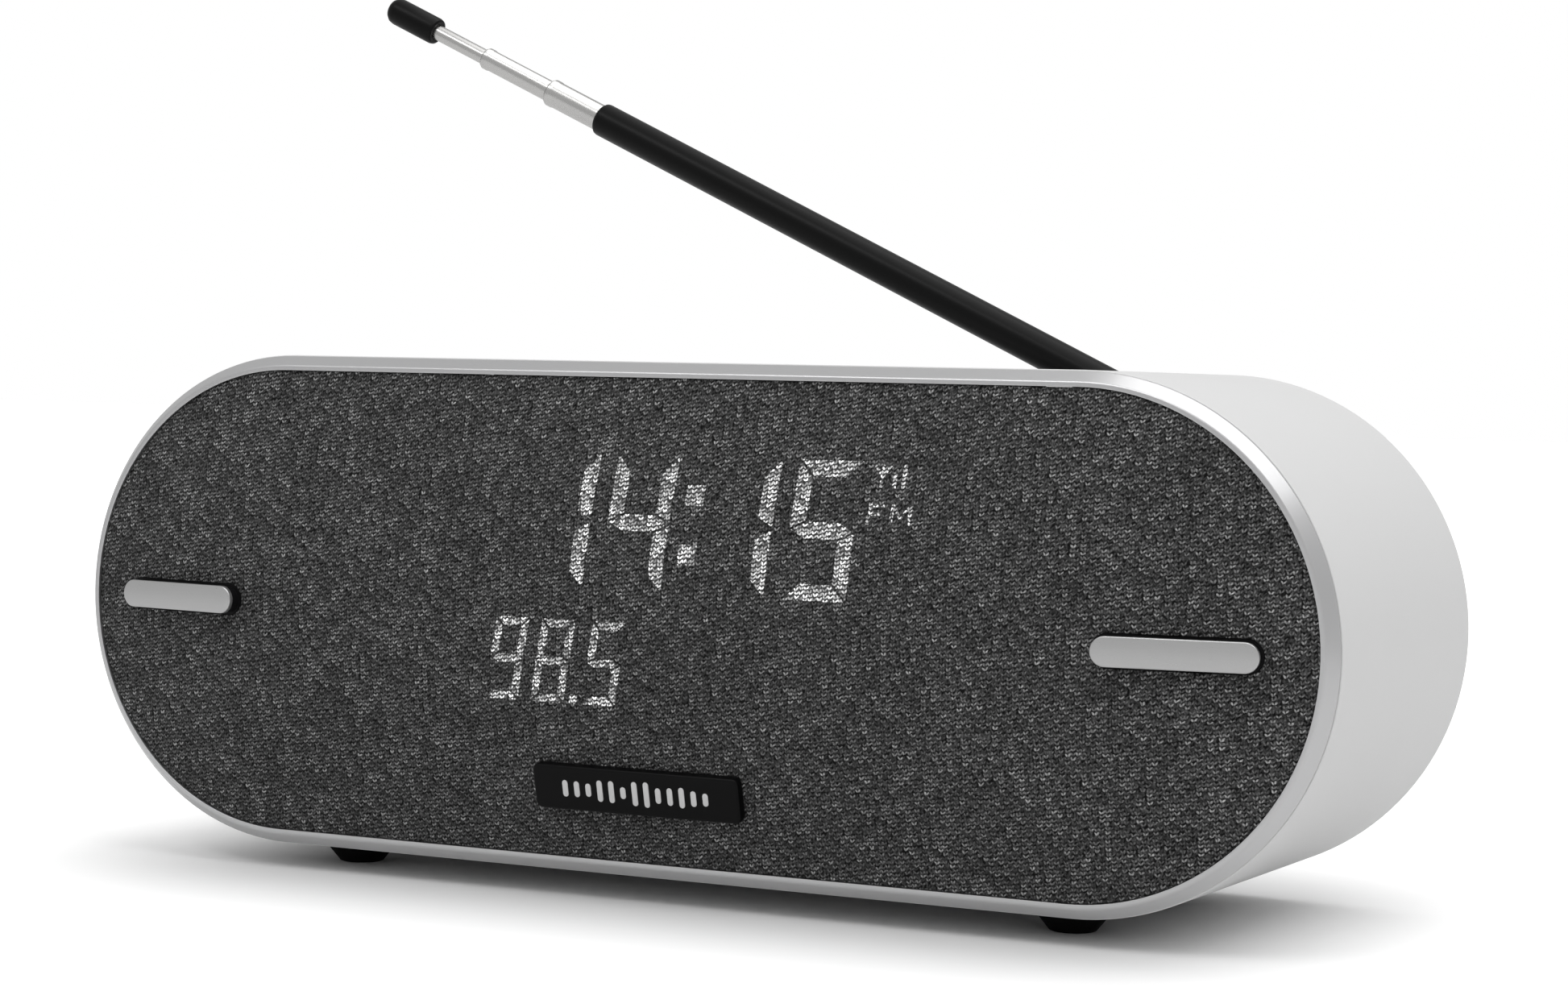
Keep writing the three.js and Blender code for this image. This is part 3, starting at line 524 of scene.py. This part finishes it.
def make_sleeve():
    inner = RADIUS - WALL
    corners = [(REBATE_RADIUS, SEAM), (RADIUS, SEAM), (RADIUS, BACK), (inner, BACK), (inner, REBATE_END),
               (REBATE_RADIUS, REBATE_END)]
    profile = fillet(corners, [0, 0.3, 1.3, 0.5, 0, 0], steps=6)
    slot = upright_slab(lambda inset: obround(*TOP_SLOT), RADIUS + 5, RADIUS - 8)
    make("case_sleeve", sweep(profile), SHELL,
         replaces=["housing_sleeve"], cutters=[slot])


def make_bezel():
    corners = [(37.5, 0), (38.25, 0), (39.82, 2.0), (39.82, 2.25), (38.2, 2.25), (38.2, 5.2), (37.5, 5.2)]
    profile = fillet(corners, [0.1, 0.7, 0.15, 0.05, 0, 0, 0], steps=8)
    make("bezel_ring", sweep(profile), SILVER, replaces=["front_bezel"])


def at_key(side):
    """The seat of the left (-1) or right (1) front key: on the cloth and square to it."""
    seat = CLOTH_EDGE - crown(KEY_X, 0)
    tilt = slope(KEY_X, 0, 1, 0)
    return Matrix.Translation((side * KEY_X, seat, 0)) @ Matrix.Rotation(side * tilt, 4, "Z")


def key_outline(grow):
    """A front key's outline, longer and higher by so much."""
    return lambda inset: obround(KEY_LENGTH + grow - 2 * inset, KEY_HEIGHT + grow - 2 * inset)


def make_cloth():
    openings = [moved(slab(key_outline(KEY_OPENING), -6, 9, 0.01, 1), at_key(side)) for side in (-1, 1)]
    cloth = make("knitted_cloth", crowned_sheet(), CLOTH,
                 replaces=["speaker_cloth"], cutters=openings)


def make_front_keys():
    for side, word in ((-1, "left"), (1, "right")):
        body = f"front_key_{word}"
        cap = slab(key_outline(0), -KEY_PROUD, -KEY_PROUD + CAP_THICK, 0.25, 5)
        make(f"key_cap_{word}", moved(cap, at_key(side)), KEY_SILVER, body=body,
             replaces=[body])
        make(f"key_carrier_{word}_body", moved(key_carrier(), at_key(side)), BLACK, body=body,
             replaces=[f"front_key_carrier_{word}"])


def key_carrier():
    """Post under the cap, wider stem in the cloth's opening, and flange behind the baffle."""
    post, stem, flange = -0.3, 0.5, 3.5
    steps = [(post, -KEY_PROUD + CAP_THICK), (post, 0.2), (stem, 0.2), (stem, 3.9), (flange, 3.9),
             (flange, 5.2)]
    return stepped(lambda grow: key_outline(grow)(0), steps)


# ---------------------------------------------------------------- badge
BADGE_SIZE = (36.0, 7.2)
BADGE_Z = -25.8
BADGE_PROUD = 1.6
BADGE_CORNER = 1.1
BAR_WIDTH, BAR_PITCH, BAR_PROUD = 0.95, 2.05, 0.12
BARS_ASIDE = 6  # level bars on either side of the middle one


def make_badge():
    seat = CLOTH_EDGE - crown(0, BADGE_Z)
    tilt = slope(0, BADGE_Z, 0, -1)
    place = Matrix.Translation((0, seat, BADGE_Z)) @ Matrix.Rotation(tilt, 4, "X")

    def outline(inset):
        width, height = (side - 2 * inset for side in BADGE_SIZE)
        return rounded_rectangle(width, height, BADGE_CORNER - inset * 0.5)

    plate = slab(outline, -BADGE_PROUD, -0.1, 0.45, 5)
    make("badge_block", moved(plate, place), BADGE, replaces=["badge_plate"])
    bars = [level_bar(i) for i in range(-BARS_ASIDE, BARS_ASIDE + 1)]
    make("badge_level_bars", moved(joined(*bars), place), MARKING)


def level_bar(i):
    """One of the badge's generic level bars, in the i-th place right of the middle."""
    height = 1.8 + 2.7 * abs(math.sin(i * 0.95 + 0.9)) * (1 - abs(i) / 9)
    bar = slab(lambda inset: obround_upright(BAR_WIDTH, height, inset), -BADGE_PROUD - BAR_PROUD,
               -BADGE_PROUD + 0.2, 0.08, 2)
    return moved(bar, Matrix.Translation((i * BAR_PITCH, 0, 0)))


def obround_upright(width, height, inset=0):
    """An obround on its end, pulled in by inset."""
    return [(-z, x) for x, z in obround(height - 2 * inset, width - 2 * inset, 6)]


# ---------------------------------------------------------------- lit segments
GLOW_LIFT = 0.06  # the lit plates stand this far above the cloth
SEGMENT_GAP = 0.36  # between two bars of a digit
SEGMENTS = {"1": "bc", "4": "bcfg", "5": "acdfg", "8": "abcdefg", "9": "abcdfg"}
CLOCK = {"height": 21.3, "width": 11.0, "stroke": 2.85, "slant": 0.07, "low": 4.7}
CLOCK_LEFTS = {"1": -20.1, "4": -6.3, "1 again": 11.2, "5": 24.8}  # a word's first letter is its digit
STATION = {"height": 13.3, "width": 6.3, "stroke": 1.65, "slant": 0.19, "low": -13.1}
STATION_LEFTS = {"9": -27.0, "8": -18.7, "5": -9.6}
DOT, COLON_X, COLON_LOWS = 3.1, 6.4, (9.3, 18.3)  # side, left edge and lower edges of the colon's dots
POINT = [(-11.5, -12.9), (-10.2, -12.9), (-10.0, -11.5), (-11.3, -11.5)]
STROKES = [  # each from x, z to x, z, and its width
    (40.0, 22.0, 40.2, 25.4, 0.45),  # the reception sign's mast
    (40.1, 23.7, 38.7, 25.5, 0.4),
    (40.1, 23.7, 41.6, 25.5, 0.4),
    (42.1, 22.0, 42.215, 24.3, 0.6),  # and its two levels
    (43.6, 22.0, 43.78, 25.6, 0.6),
    (38.3, 16.6, 38.7, 19.6, 0.5),  # F
    (38.7, 19.4, 40.9, 19.4, 0.45),
    (38.5, 18.1, 40.3, 18.1, 0.45),
    (42.0, 16.6, 42.4, 19.6, 0.5),  # M
    (42.4, 19.5, 43.6, 17.6, 0.45),
    (43.6, 17.6, 45.2, 19.5, 0.45),
    (44.9, 16.6, 45.3, 19.6, 0.5),
]
CUTS = (((1, 0, 0), range(-30, 50)), ((0, 0, 1), range(-16, 30)))  # planes that split the plates to bend


def seven_segments(w, h, s):
    """The bars of a digit of that width, height and stroke: convex polygons by letter."""
    mid, t = h / 2, s / 2
    right = {"b": [(w, h), (w - s, h - s), (w - s, mid + t), (w, mid)]}
    right["c"] = [(x, h - z) for x, z in right["b"]]
    left = {"f": [(w - x, z) for x, z in right["b"]], "e": [(w - x, z) for x, z in right["c"]]}
    flat = {
        "a": [(0, h), (w, h), (w - s, h - s), (s, h - s)],
        "d": [(0, 0), (w, 0), (w - s, s), (s, s)],
        "g": [(0, mid), (s, mid + t), (w - s, mid + t), (w, mid), (w - s, mid - t), (s, mid - t)],
    }
    return {**right, **left, **flat}


def shrunk(polygon, gap):
    """A convex polygon with each side moved in by gap."""
    area = sum(a[0] * b[1] - b[0] * a[1] for a, b in zip(polygon, polygon[1:] + polygon[:1]))
    points = [Vector(p) for p in (polygon if area > 0 else polygon[::-1])]
    lines = []
    for a, b in zip(points, points[1:] + points[:1]):
        along = (b - a).normalized()
        inward = Vector((-along.y, along.x))
        lines.append((a + inward * gap, along))
    result = []
    for (p, u), (q, v) in zip(lines[-1:] + lines[:-1], lines):
        cross = u.x * v.y - u.y * v.x
        reach = ((q - p).x * v.y - (q - p).y * v.x) / cross
        result.append(tuple(p + u * reach))
    return result


def number(style, lefts):
    """Polygons of a row of digits."""
    bars = seven_segments(style["width"], style["height"], style["stroke"])
    polygons = []
    for word, left in lefts.items():
        for letter in SEGMENTS[word[0]]:
            bar = shrunk(bars[letter], SEGMENT_GAP / 2)
            polygons.append([(left + x + style["slant"] * z, style["low"] + z) for x, z in bar])
    return polygons


def strip(x0, z0, x1, z1, width):
    """A straight stroke between two points."""
    along = Vector((x1 - x0, z1 - z0)).normalized() * width / 2
    nx, nz = -along.y, along.x
    return [(x0 - nx, z0 - nz), (x1 - nx, z1 - nz), (x1 + nx, z1 + nz), (x0 + nx, z0 + nz)]


def small_signs():
    """Colon, decimal point, reception sign and the wave band."""
    colon = []
    for low in COLON_LOWS:
        corners = ((0, low), (DOT, low), (DOT, low + DOT), (0, low + DOT))
        colon.append([(COLON_X + x + CLOCK["slant"] * z, z) for x, z in corners])
    return [*colon, POINT, *(strip(*stroke) for stroke in STROKES)]


def make_lit_segments():
    """Thin plates that follow the cloth where the display shines through it."""
    mesh = bmesh.new()
    for polygon in number(CLOCK, CLOCK_LEFTS) + number(STATION, STATION_LEFTS) + small_signs():
        points, sides = loft([[(x, y, z) for x, z in polygon] for y in (-GLOW_LIFT, -GLOW_LIFT / 4)])
        corners = [mesh.verts.new(point) for point in points]
        for side in sides:
            mesh.faces.new([corners[i] for i in side])
    for axis, places in CUTS:
        for place in places:
            everything = mesh.verts[:] + mesh.edges[:] + mesh.faces[:]
            bmesh.ops.bisect_plane(mesh, geom=everything, plane_co=Vector(axis) * place, plane_no=axis)
    mesh.verts.index_update()
    verts = [(v.co.x, CLOTH_EDGE - crown(v.co.x, v.co.z) + v.co.y, v.co.z) for v in mesh.verts]
    faces = [[v.index for v in face.verts] for face in mesh.faces]
    mesh.free()
    make("lit_segments", (verts, faces), LIT_CLOTH)


# ---------------------------------------------------------------- top keys
TOP_FACE = RADIUS - 0.25
ROUND_KEY = 8.0
SNOOZE_LENGTH = 30.0
KEY_GAP = 0.6  # the plate's openings are this much longer and wider than the keys
SKIRT = 2.0  # and the flanges that keep the keys in are this much longer and wider


def top_key_outline(x, length, grow=0.0):
    """The outline of a top key whose middle is at x."""
    def outline(inset):
        points = obround(length + grow - 2 * inset, ROUND_KEY + grow - 2 * inset)
        return [(px + x, pz) for px, pz in points]
    return outline


def make_top_keys():
    keys = {"snooze_bar": ("snooze_key", 0.0, SNOOZE_LENGTH)}
    for i in range(1, 7):
        low, high = extent(f"top_key_{i}")
        keys[f"top_key_{i}"] = (f"top_key_{i}", (low.x + high.x) / 2, ROUND_KEY + 0.01)
    openings = []
    for node, (body, x, length) in keys.items():
        low = extent(node)[0].z - MIDDLE
        cap = upright_slab(top_key_outline(x, length), TOP_FACE, low + 0.8, 0.5)
        skirt = upright_slab(top_key_outline(x, length, SKIRT), low + 1.2, low, 0.2)
        make(f"{node}_cap", joined(cap, skirt), KEY_SILVER, body=body, replaces=[node])
        openings.append(upright_slab(top_key_outline(x, length, KEY_GAP), RADIUS + 10, RADIUS - 20))
    make("top_key_plate", top_plate(), BLACK, replaces=["top_key_panel"],
         cutters=openings)


def top_plate():
    """The plate round the top keys, with the flange that holds it under the sleeve."""
    face, side, flange = -0.7, -0.44, 4.0
    steps = [(face, -TOP_FACE), (-0.5, 0.06 - TOP_FACE), (side, 0.2 - TOP_FACE), (side, -37.3),
             (flange, -37.3), (flange, -35.6)]
    plate = stepped(lambda grow: obround(*(length + grow for length in TOP_SLOT)), steps)
    return moved(plate, TOP_STAND)


# ---------------------------------------------------------------- rear
COVER_FRONT, COVER_BACK = 64.1, 66.6
CUT_START, CUT_END = 60, 70  # depths well in front of the cover and well behind it
SCREW_SINK, SCREW_LENGTH = 1.2, 10
SCREW_HOLE, NUT_HOLE = 3.1, 3.8  # radii
SOCKETS = {"power_inlet": (4.9, 3.0), "headphone_socket": (3.9, 1.8)}  # radii of opening and bore
SOCKET_REACH = 8  # how far a socket's barrel reaches in from the cover
VENT_COUNT, VENT_PITCH, VENT_SIZE, VENT_Z = 7, 6, (2.2, 20), 14
LABEL_SIZE = (60, 20)


def node_middle(node):
    """x and z of a node's middle, round the case's middle."""
    low, high = extent(node)
    return (low.x + high.x) / 2, (low.z + high.z) / 2 - MIDDLE


def at(x, z):
    """A shift across the case."""
    return Matrix.Translation((x, 0, z))


def through(radius, middle, start=CUT_START):
    """A rod that cuts a round hole in the cover."""
    return moved(turned([(radius, start), (radius, CUT_END)]), at(*middle))


def vents():
    """Upright slots behind the loudspeaker."""
    middle = node_middle("driver_magnet")[0]
    slot = slab(lambda inset: obround_upright(*VENT_SIZE), CUT_START, CUT_END, 0.01, 1)
    shifts = [(i - (VENT_COUNT - 1) / 2) * VENT_PITCH for i in range(VENT_COUNT)]
    return [moved(slot, at(middle + shift, VENT_Z)) for shift in shifts]


def label_slab(grow, corner, front, back):
    """The label's shape, longer and higher by so much."""
    width, height = (side + grow for side in LABEL_SIZE)
    shape = slab(lambda inset: rounded_rectangle(width, height, corner), front, back, 0.01, 1)
    return moved(shape, at(*node_middle("rating_label")))


def make_rear():
    edge = RADIUS - WALL - 0.3
    profile = [(edge, COVER_FRONT), (edge, COVER_BACK - 0.4), (edge - 0.12, COVER_BACK - 0.12),
               (edge - 0.4, COVER_BACK)]
    screws = [node_middle(f"rear_screw_{i}") for i in range(1, 5)]
    cutters = [through(SCREW_HOLE, screw, COVER_BACK - SCREW_SINK) for screw in screws]
    cutters += [through(opening, node_middle(node)) for node, (opening, _) in SOCKETS.items()]
    cutters.append(through(NUT_HOLE, node_middle("aerial_nut")))
    cutters += vents()
    cutters.append(label_slab(1, 1.5, COVER_BACK - 0.7, CUT_END))
    make("rear_panel", sweep(profile, closed=False), SHELL, replaces=["rear_cover"],
         cutters=cutters)
    label = label_slab(0, 1.2, COVER_BACK - 0.5, COVER_BACK - 0.15)
    make("blank_label", label, LABEL, replaces=["rating_label"])
    for i, (x, z) in enumerate(screws, 1):
        make_screw(f"rear_screw_{i}", Matrix.Translation((x, COVER_BACK - SCREW_SINK, z)))
    for node, (opening, bore) in SOCKETS.items():
        make_socket(node, opening - 0.3, bore)


def make_screw(node, place):
    """Pan-head screw with a cross recess, its head towards +y."""
    screw = [(0.01, -SCREW_LENGTH), (1.2, -SCREW_LENGTH), (1.4, 0.6 - SCREW_LENGTH), (1.4, 0), (2.6, 0),
             (2.8, 0.2), (2.7, 0.7), (2.2, 1.05), (1.4, 1.2), (0.01, 1.2)]
    arms = [box((-1.5, 0.55, -0.28), (1.5, 3, 0.28)), box((-0.28, 0.55, -1.5), (0.28, 3, 1.5))]
    make(f"{node}_body", moved(turned(screw, 32), place), STEEL,
         replaces=[node], cutters=[moved(arm, place) for arm in arms])


def make_socket(node, outer, bore):
    """A round barrel on a square block; the wider socket has a pin, the narrower one a spring."""
    low, high = extent(node)
    front, side = low.y - LIP, high.x - low.x
    deep = COVER_FRONT - SOCKET_REACH
    place = at(*node_middle(node))
    barrel = [(bore, deep), (outer, deep), (outer, COVER_BACK - 0.3), (outer - 0.3, COVER_BACK),
              (bore + 0.3, COVER_BACK), (bore, COVER_BACK - 0.3), (bore, deep)]
    block = slab(lambda inset: rounded_rectangle(side - 2 * inset, side - 2 * inset, 0.4), front, deep, 0.3)
    make(f"{node}_body", moved(joined(turned(barrel), block), place), BLACK,
         replaces=[node])
    pin = [(0.01, deep - 1), (0.9, deep - 1), (0.9, COVER_BACK - 2), (0.5, COVER_BACK - 1.4),
           (0.01, COVER_BACK - 1.3)]
    spring = [(bore - 0.05, deep + 1), (bore - 0.3, deep + 1), (bore - 0.3, COVER_BACK - 3),
              (bore - 0.05, COVER_BACK - 3), (bore - 0.05, deep + 1)]
    contact = turned(pin, 24) if bore > 2 else turned(spring, 32)
    make(f"{node}_contact", moved(contact, place), BRASS)


# ---------------------------------------------------------------- feet
def make_feet():
    for i in range(1, 5):
        low, high = extent(f"foot_{i}")
        x, depth = (low.x + high.x) / 2, (low.y + high.y) / 2 - LIP
        top, bottom = high.z - MIDDLE, low.z - MIDDLE
        rim = [(0.01, bottom), (3.3, bottom), (3.6, bottom + 0.12), (3.9, bottom + 0.5),
               (6.5, top - 0.9), (6.8, top - 0.5), (6.8, top), (0.01, top)]
        foot = moved(turned(rim, 48), Matrix.Translation((x, depth, 0)) @ UPRIGHT)
        make(f"foot_{i}_pad", foot, RUBBER, replaces=[f"foot_{i}"])


# ---------------------------------------------------------------- aerial
AERIAL_ANGLE = 25  # degrees above level, pointing left
PIVOT_BEHIND = 7.0  # how far the hinge pin is behind the case
PIVOT_X, PIVOT_Z = node_middle("aerial_nut")
AERIAL = (BODY @ Matrix.Translation((PIVOT_X, BACK + PIVOT_BEHIND, PIVOT_Z))
          @ Matrix.Rotation(math.radians(180 + AERIAL_ANGLE), 4, "Y"))
TUBES = {  # outer radius, bore, and where along the rod each drawn tube starts and ends
    "aerial_rod": (3.0, 2.6, 9, 134.7),
    "aerial_section_2": (2.4, 2.1, 25.8, 146.5),
    "aerial_section_3": (1.9, 1.6, 43, 161.9),
}
NEEDLE_START, NEEDLE_END = 60, 176
TIP_START, TIP_END = 173.6, 184.6
CHEEK_THICK, CHEEK_RADIUS = 1.8, 4.2


def black_tube(outer, bore, start, end):
    """Profile of the outer tube, with its end rolled in."""
    return [(bore, start), (outer - 0.3, start), (outer, start + 0.3), (outer, end - 0.7),
            (outer - 0.08, end - 0.35), (outer - 0.3, end - 0.08), (outer - 0.55, end),
            (bore, end), (bore, start)]


def bright_tube(outer, bore, start, end):
    """Profile of an inner tube, with a slightly wider collar at its end."""
    lip = outer + 0.1
    return [(bore, start), (outer, start), (outer, end - 1.6), (lip, end - 1.3), (lip, end - 0.4),
            (lip - 0.25, end - 0.08), (bore + 0.15, end), (bore, end - 0.2), (bore, start)]


def make_aerial_tubes():
    for i, (body, tube) in enumerate(TUBES.items(), 1):
        profile = black_tube(*tube) if i == 1 else bright_tube(*tube)
        material, slot = (AERIAL_BLACK, "aerial_black") if i == 1 else (NICKEL, "aerial_chrome")
        make(f"aerial_tube_{i}", moved(turned(profile, 48), ALONG_X), material, matrix=AERIAL, body=body,
             replaces=[f"aerial_stage_{i}"])
    needle = [(0.01, NEEDLE_START), (1.3, NEEDLE_START), (1.4, NEEDLE_START + 0.4), (1.4, NEEDLE_END),
              (0.01, NEEDLE_END)]
    make("aerial_needle", moved(turned(needle, 32), ALONG_X), NICKEL, matrix=AERIAL,
         body="aerial_section_4", replaces=["aerial_stage_4"])
    tip = [(1.45, TIP_START), (2.0, TIP_START - 0.1), (2.35, TIP_START + 0.1), (2.5, TIP_START + 0.6),
           (2.5, TIP_END - 1.8), (2.35, TIP_END - 1.0), (1.9, TIP_END - 0.4), (1.2, TIP_END - 0.08),
           (0.01, TIP_END), (0.01, NEEDLE_END + 0.3), (1.45, NEEDLE_END + 0.3), (1.45, TIP_START)]
    make("aerial_tip_cap", moved(turned(tip), ALONG_X), AERIAL_BLACK, matrix=AERIAL,
         body="aerial_section_4", replaces=["aerial_tip"])


def make_aerial_mount():
    """Turning base with two cheeks, the rivet through them, and the rod's knuckle between them."""
    disc = [(0.01, -14), (3.5, -14), (3.5, -7.1), (7.2, -7.1), (7.5, -6.8), (7.5, -5.2), (7.0, -4.6),
            (0.01, -4.6)]
    cheeks = [cheek(low) for low in (-5.4, 3.6)]
    make("aerial_turret_body", joined(turned(disc, 56), *cheeks), AERIAL_BLACK, matrix=AERIAL,
         body="aerial_swivel", replaces=["aerial_turret"])
    pin = [(0.01, -5.7), (1.5, -5.6), (1.6, -5.4), (1.1, -5.4), (1.1, 5.4), (1.6, 5.4), (1.5, 5.6),
           (0.01, 5.7)]
    make("aerial_rivet", moved(turned(pin, 28), UPRIGHT), NICKEL, matrix=AERIAL,
         body="aerial_swivel", replaces=["aerial_pin"])
    knuckle = [(1.3, -3.3), (3.4, -3.3), (3.7, -3.0), (3.7, 3.0), (3.4, 3.3), (1.3, 3.3), (1.3, -3.3)]
    neck = [(2.5, 3.0), (2.5, 12.6), (2.3, 13.0)]
    make("aerial_knuckle", joined(moved(turned(knuckle), UPRIGHT), moved(turned(neck, 32), ALONG_X)),
         NICKEL, matrix=AERIAL, body="aerial_rod", replaces=["aerial_elbow"])


def cheek(low):
    """One ear of the turret, rounded about the pivot, from that height up."""
    def outline(inset):
        r = CHEEK_RADIUS - inset
        return [(-r, -5.0), (r, -5.0)] + arc(0, 0, r, 0, 180, 20)

    mirror = Matrix.Scale(-1, 4, (0, 0, 1))
    return moved(slab(outline, low, low + CHEEK_THICK, 0.3), UPRIGHT @ mirror)


# ---------------------------------------------------------------- inner parts keep their CAD shapes
def dress_cad_nodes():
    """Materials for the CAD nodes that no piece replaces, by their slots."""
    finishes = {
        "circuit_board": grained("circuit_board", (0.015, 0.09, 0.045), 0.4, grain=1.5, relief=0.02,
                                 spread=0.35),
        "display_lamp": grained("display_lamps", (0.75, 0.78, 0.82), 0.35, grain=2.0, relief=0.01),
        "ribbon_white": grained("ribbon_white", (0.72, 0.72, 0.68), 0.4, grain=2.0, relief=0.01),
        "ferrite": grained("ferrite", (0.045, 0.045, 0.05), 0.6, grain=2.0, relief=0.04, spread=0.3),
        "cone_paper": grained("cone_paper", (0.03, 0.03, 0.033), 0.9, grain=2.5, relief=0.05, spread=0.3),
        "black_plastic": BLACK,
        "rubber_black": RUBBER,
        "steel_plated": STEEL,
        "aerial_chrome": NICKEL,
    }
    slots = {row["node"]: row["material_slot"] for row in frame["record"]["subparts"]}
    for name, node in frame["nodes"].items():
        if node.hide_render:
            continue
        node.data.materials.clear()
        node.data.materials.append(finishes[slots[name]])


# ---------------------------------------------------------------- stage
def light(name, size, power, place, aim):
    """A soft rectangular light, in metres and watts."""
    data = bpy.data.lights.new(name, "AREA")
    data.shape, data.size, data.size_y = "RECTANGLE", size[0], size[1]
    data.energy = power
    lamp = bpy.data.objects.new(name, data)
    lamp.location = place
    lamp.rotation_euler = (Vector(aim) - Vector(place)).to_track_quat("-Z", "Y").to_euler()
    bpy.context.scene.collection.objects.link(lamp)


FLOOR_REACH = 6000  # half the floor's side
PAINTED_SHADOW_PATCH = (64, 22)  # half width and half depth of the floor patch under the radio's belly that gets no emission: a painted shadow
PAINTED_HALO = (6, 68, 0.42)  # the floor's emission rises between two distances from that patch, by so much: painted light round the painted shadow
HORIZON = (200, 700, 0.25)  # and far off by this much more
WORLD_LIGHT, WORLD_SEEN = 0.56, 1.0  # the world's strength on the object and in the picture


def make_floor():
    """A pale floor whose emission, seen only by the camera, paints light away from the radio and leaves a
    painted shadow round its footprint, without lighting the radio by that.
    """
    mesh = bpy.data.meshes.new("floor")
    reach = FLOOR_REACH * MM
    corners = [(-reach, -reach, 0), (reach, -reach, 0), (reach, reach, 0), (-reach, reach, 0)]
    mesh.from_pydata(corners, [], [(0, 1, 2, 3)])
    floor = bpy.data.objects.new("floor", mesh)
    bpy.context.scene.collection.objects.link(floor)
    paint = Shader("floor_white", (0.80, 0.80, 0.80), 0.8, Specular_IOR_Level=0.1)
    m = paint.math
    _, x, y, _ = paint.place()
    beside = m("MAXIMUM", m("SUBTRACT", m("ABSOLUTE", x), PAINTED_SHADOW_PATCH[0]), 0.0)
    before = m("MAXIMUM", m("SUBTRACT", m("ABSOLUTE", y), PAINTED_SHADOW_PATCH[1]), 0.0)
    away = m("SQRT", m("ADD", m("MULTIPLY", beside, beside), m("MULTIPLY", before, before)))
    # glow is painted light: the floor's emission, rising away from the painted shadow under the radio
    glow = 0.0
    for start, end, strength in (PAINTED_HALO, HORIZON):
        rise = paint.node("ShaderNodeMapRange", _0=away, _1=start, _2=end, _3=0.0, _4=strength)
        rise.interpolation_type = "SMOOTHSTEP"
        glow = m("ADD", glow, rise.outputs[0])
    rays = paint.tree.nodes.new("ShaderNodeLightPath")
    paint.set("Emission Color", (1, 1, 1, 1))
    paint.set("Emission Strength", m("MULTIPLY", glow, rays.outputs["Is Camera Ray"]))
    mesh.materials.append(paint.material)


def make_world():
    """Even white light all round."""
    world = bpy.data.worlds.new("studio")
    bpy.context.scene.world = world
    world.use_nodes = True
    tree = world.node_tree
    background = tree.nodes["Background"]
    rays = tree.nodes.new("ShaderNodeLightPath")
    strength = tree.nodes.new("ShaderNodeMapRange")
    strength.inputs[3].default_value, strength.inputs[4].default_value = WORLD_LIGHT, WORLD_SEEN
    tree.links.new(rays.outputs["Is Camera Ray"], strength.inputs[0])
    tree.links.new(strength.outputs[0], background.inputs["Strength"])
    background.inputs["Color"].default_value = (1, 1, 1, 1)


def make_stage():
    make_floor()
    make_world()
    light("overhead", (1.4, 1.2), 8.6, (0.36, 0.02, 1.1), (0, 0, 0.04))
    light("high_strip", (0.9, 0.3), 3.0, (-0.35, -0.85, 1.1), (0, 0, 0.05))
    bpy.context.scene.view_settings.view_transform = "Standard"


# The view: turned to the right of the front, a little above level, with a long lens.
VIEW_YAW, VIEW_PITCH, VIEW_ROLL = (math.radians(a) for a in (27.04, 1.84, 1.24))
VIEW_TARGET = (22.15, 0, 20.5)
VIEW_DISTANCE = 514.56
LENS, SENSOR = 78.35, 36


def make_camera():
    ahead = math.cos(VIEW_PITCH)
    back = Vector((math.sin(VIEW_YAW) * ahead, -math.cos(VIEW_YAW) * ahead, math.sin(VIEW_PITCH)))
    level = Vector((math.cos(VIEW_YAW), math.sin(VIEW_YAW), 0))
    upward = back.cross(level)
    right = level * math.cos(VIEW_ROLL) + upward * math.sin(VIEW_ROLL)
    up = back.cross(right)
    turn = Matrix((right, up, back)).transposed().to_4x4()
    data = bpy.data.cameras.new("camera")
    data.lens, data.sensor_width, data.sensor_fit = LENS, SENSOR, "HORIZONTAL"
    data.clip_start = 0.01
    camera = bpy.data.objects.new("camera", data)
    spot = BODY @ (Vector(VIEW_TARGET) + back * VIEW_DISTANCE)
    camera.matrix_world = Matrix.Translation(spot) @ turn
    bpy.context.scene.collection.objects.link(camera)
    bpy.context.scene.camera = camera


# ---------------------------------------------------------------- build
make_camera()
make_stage()
make_sleeve()
make_bezel()
make_cloth()
make_lit_segments()
make_front_keys()
make_badge()
make_top_keys()
make_rear()
make_feet()
make_aerial_tubes()
make_aerial_mount()
dress_cad_nodes()
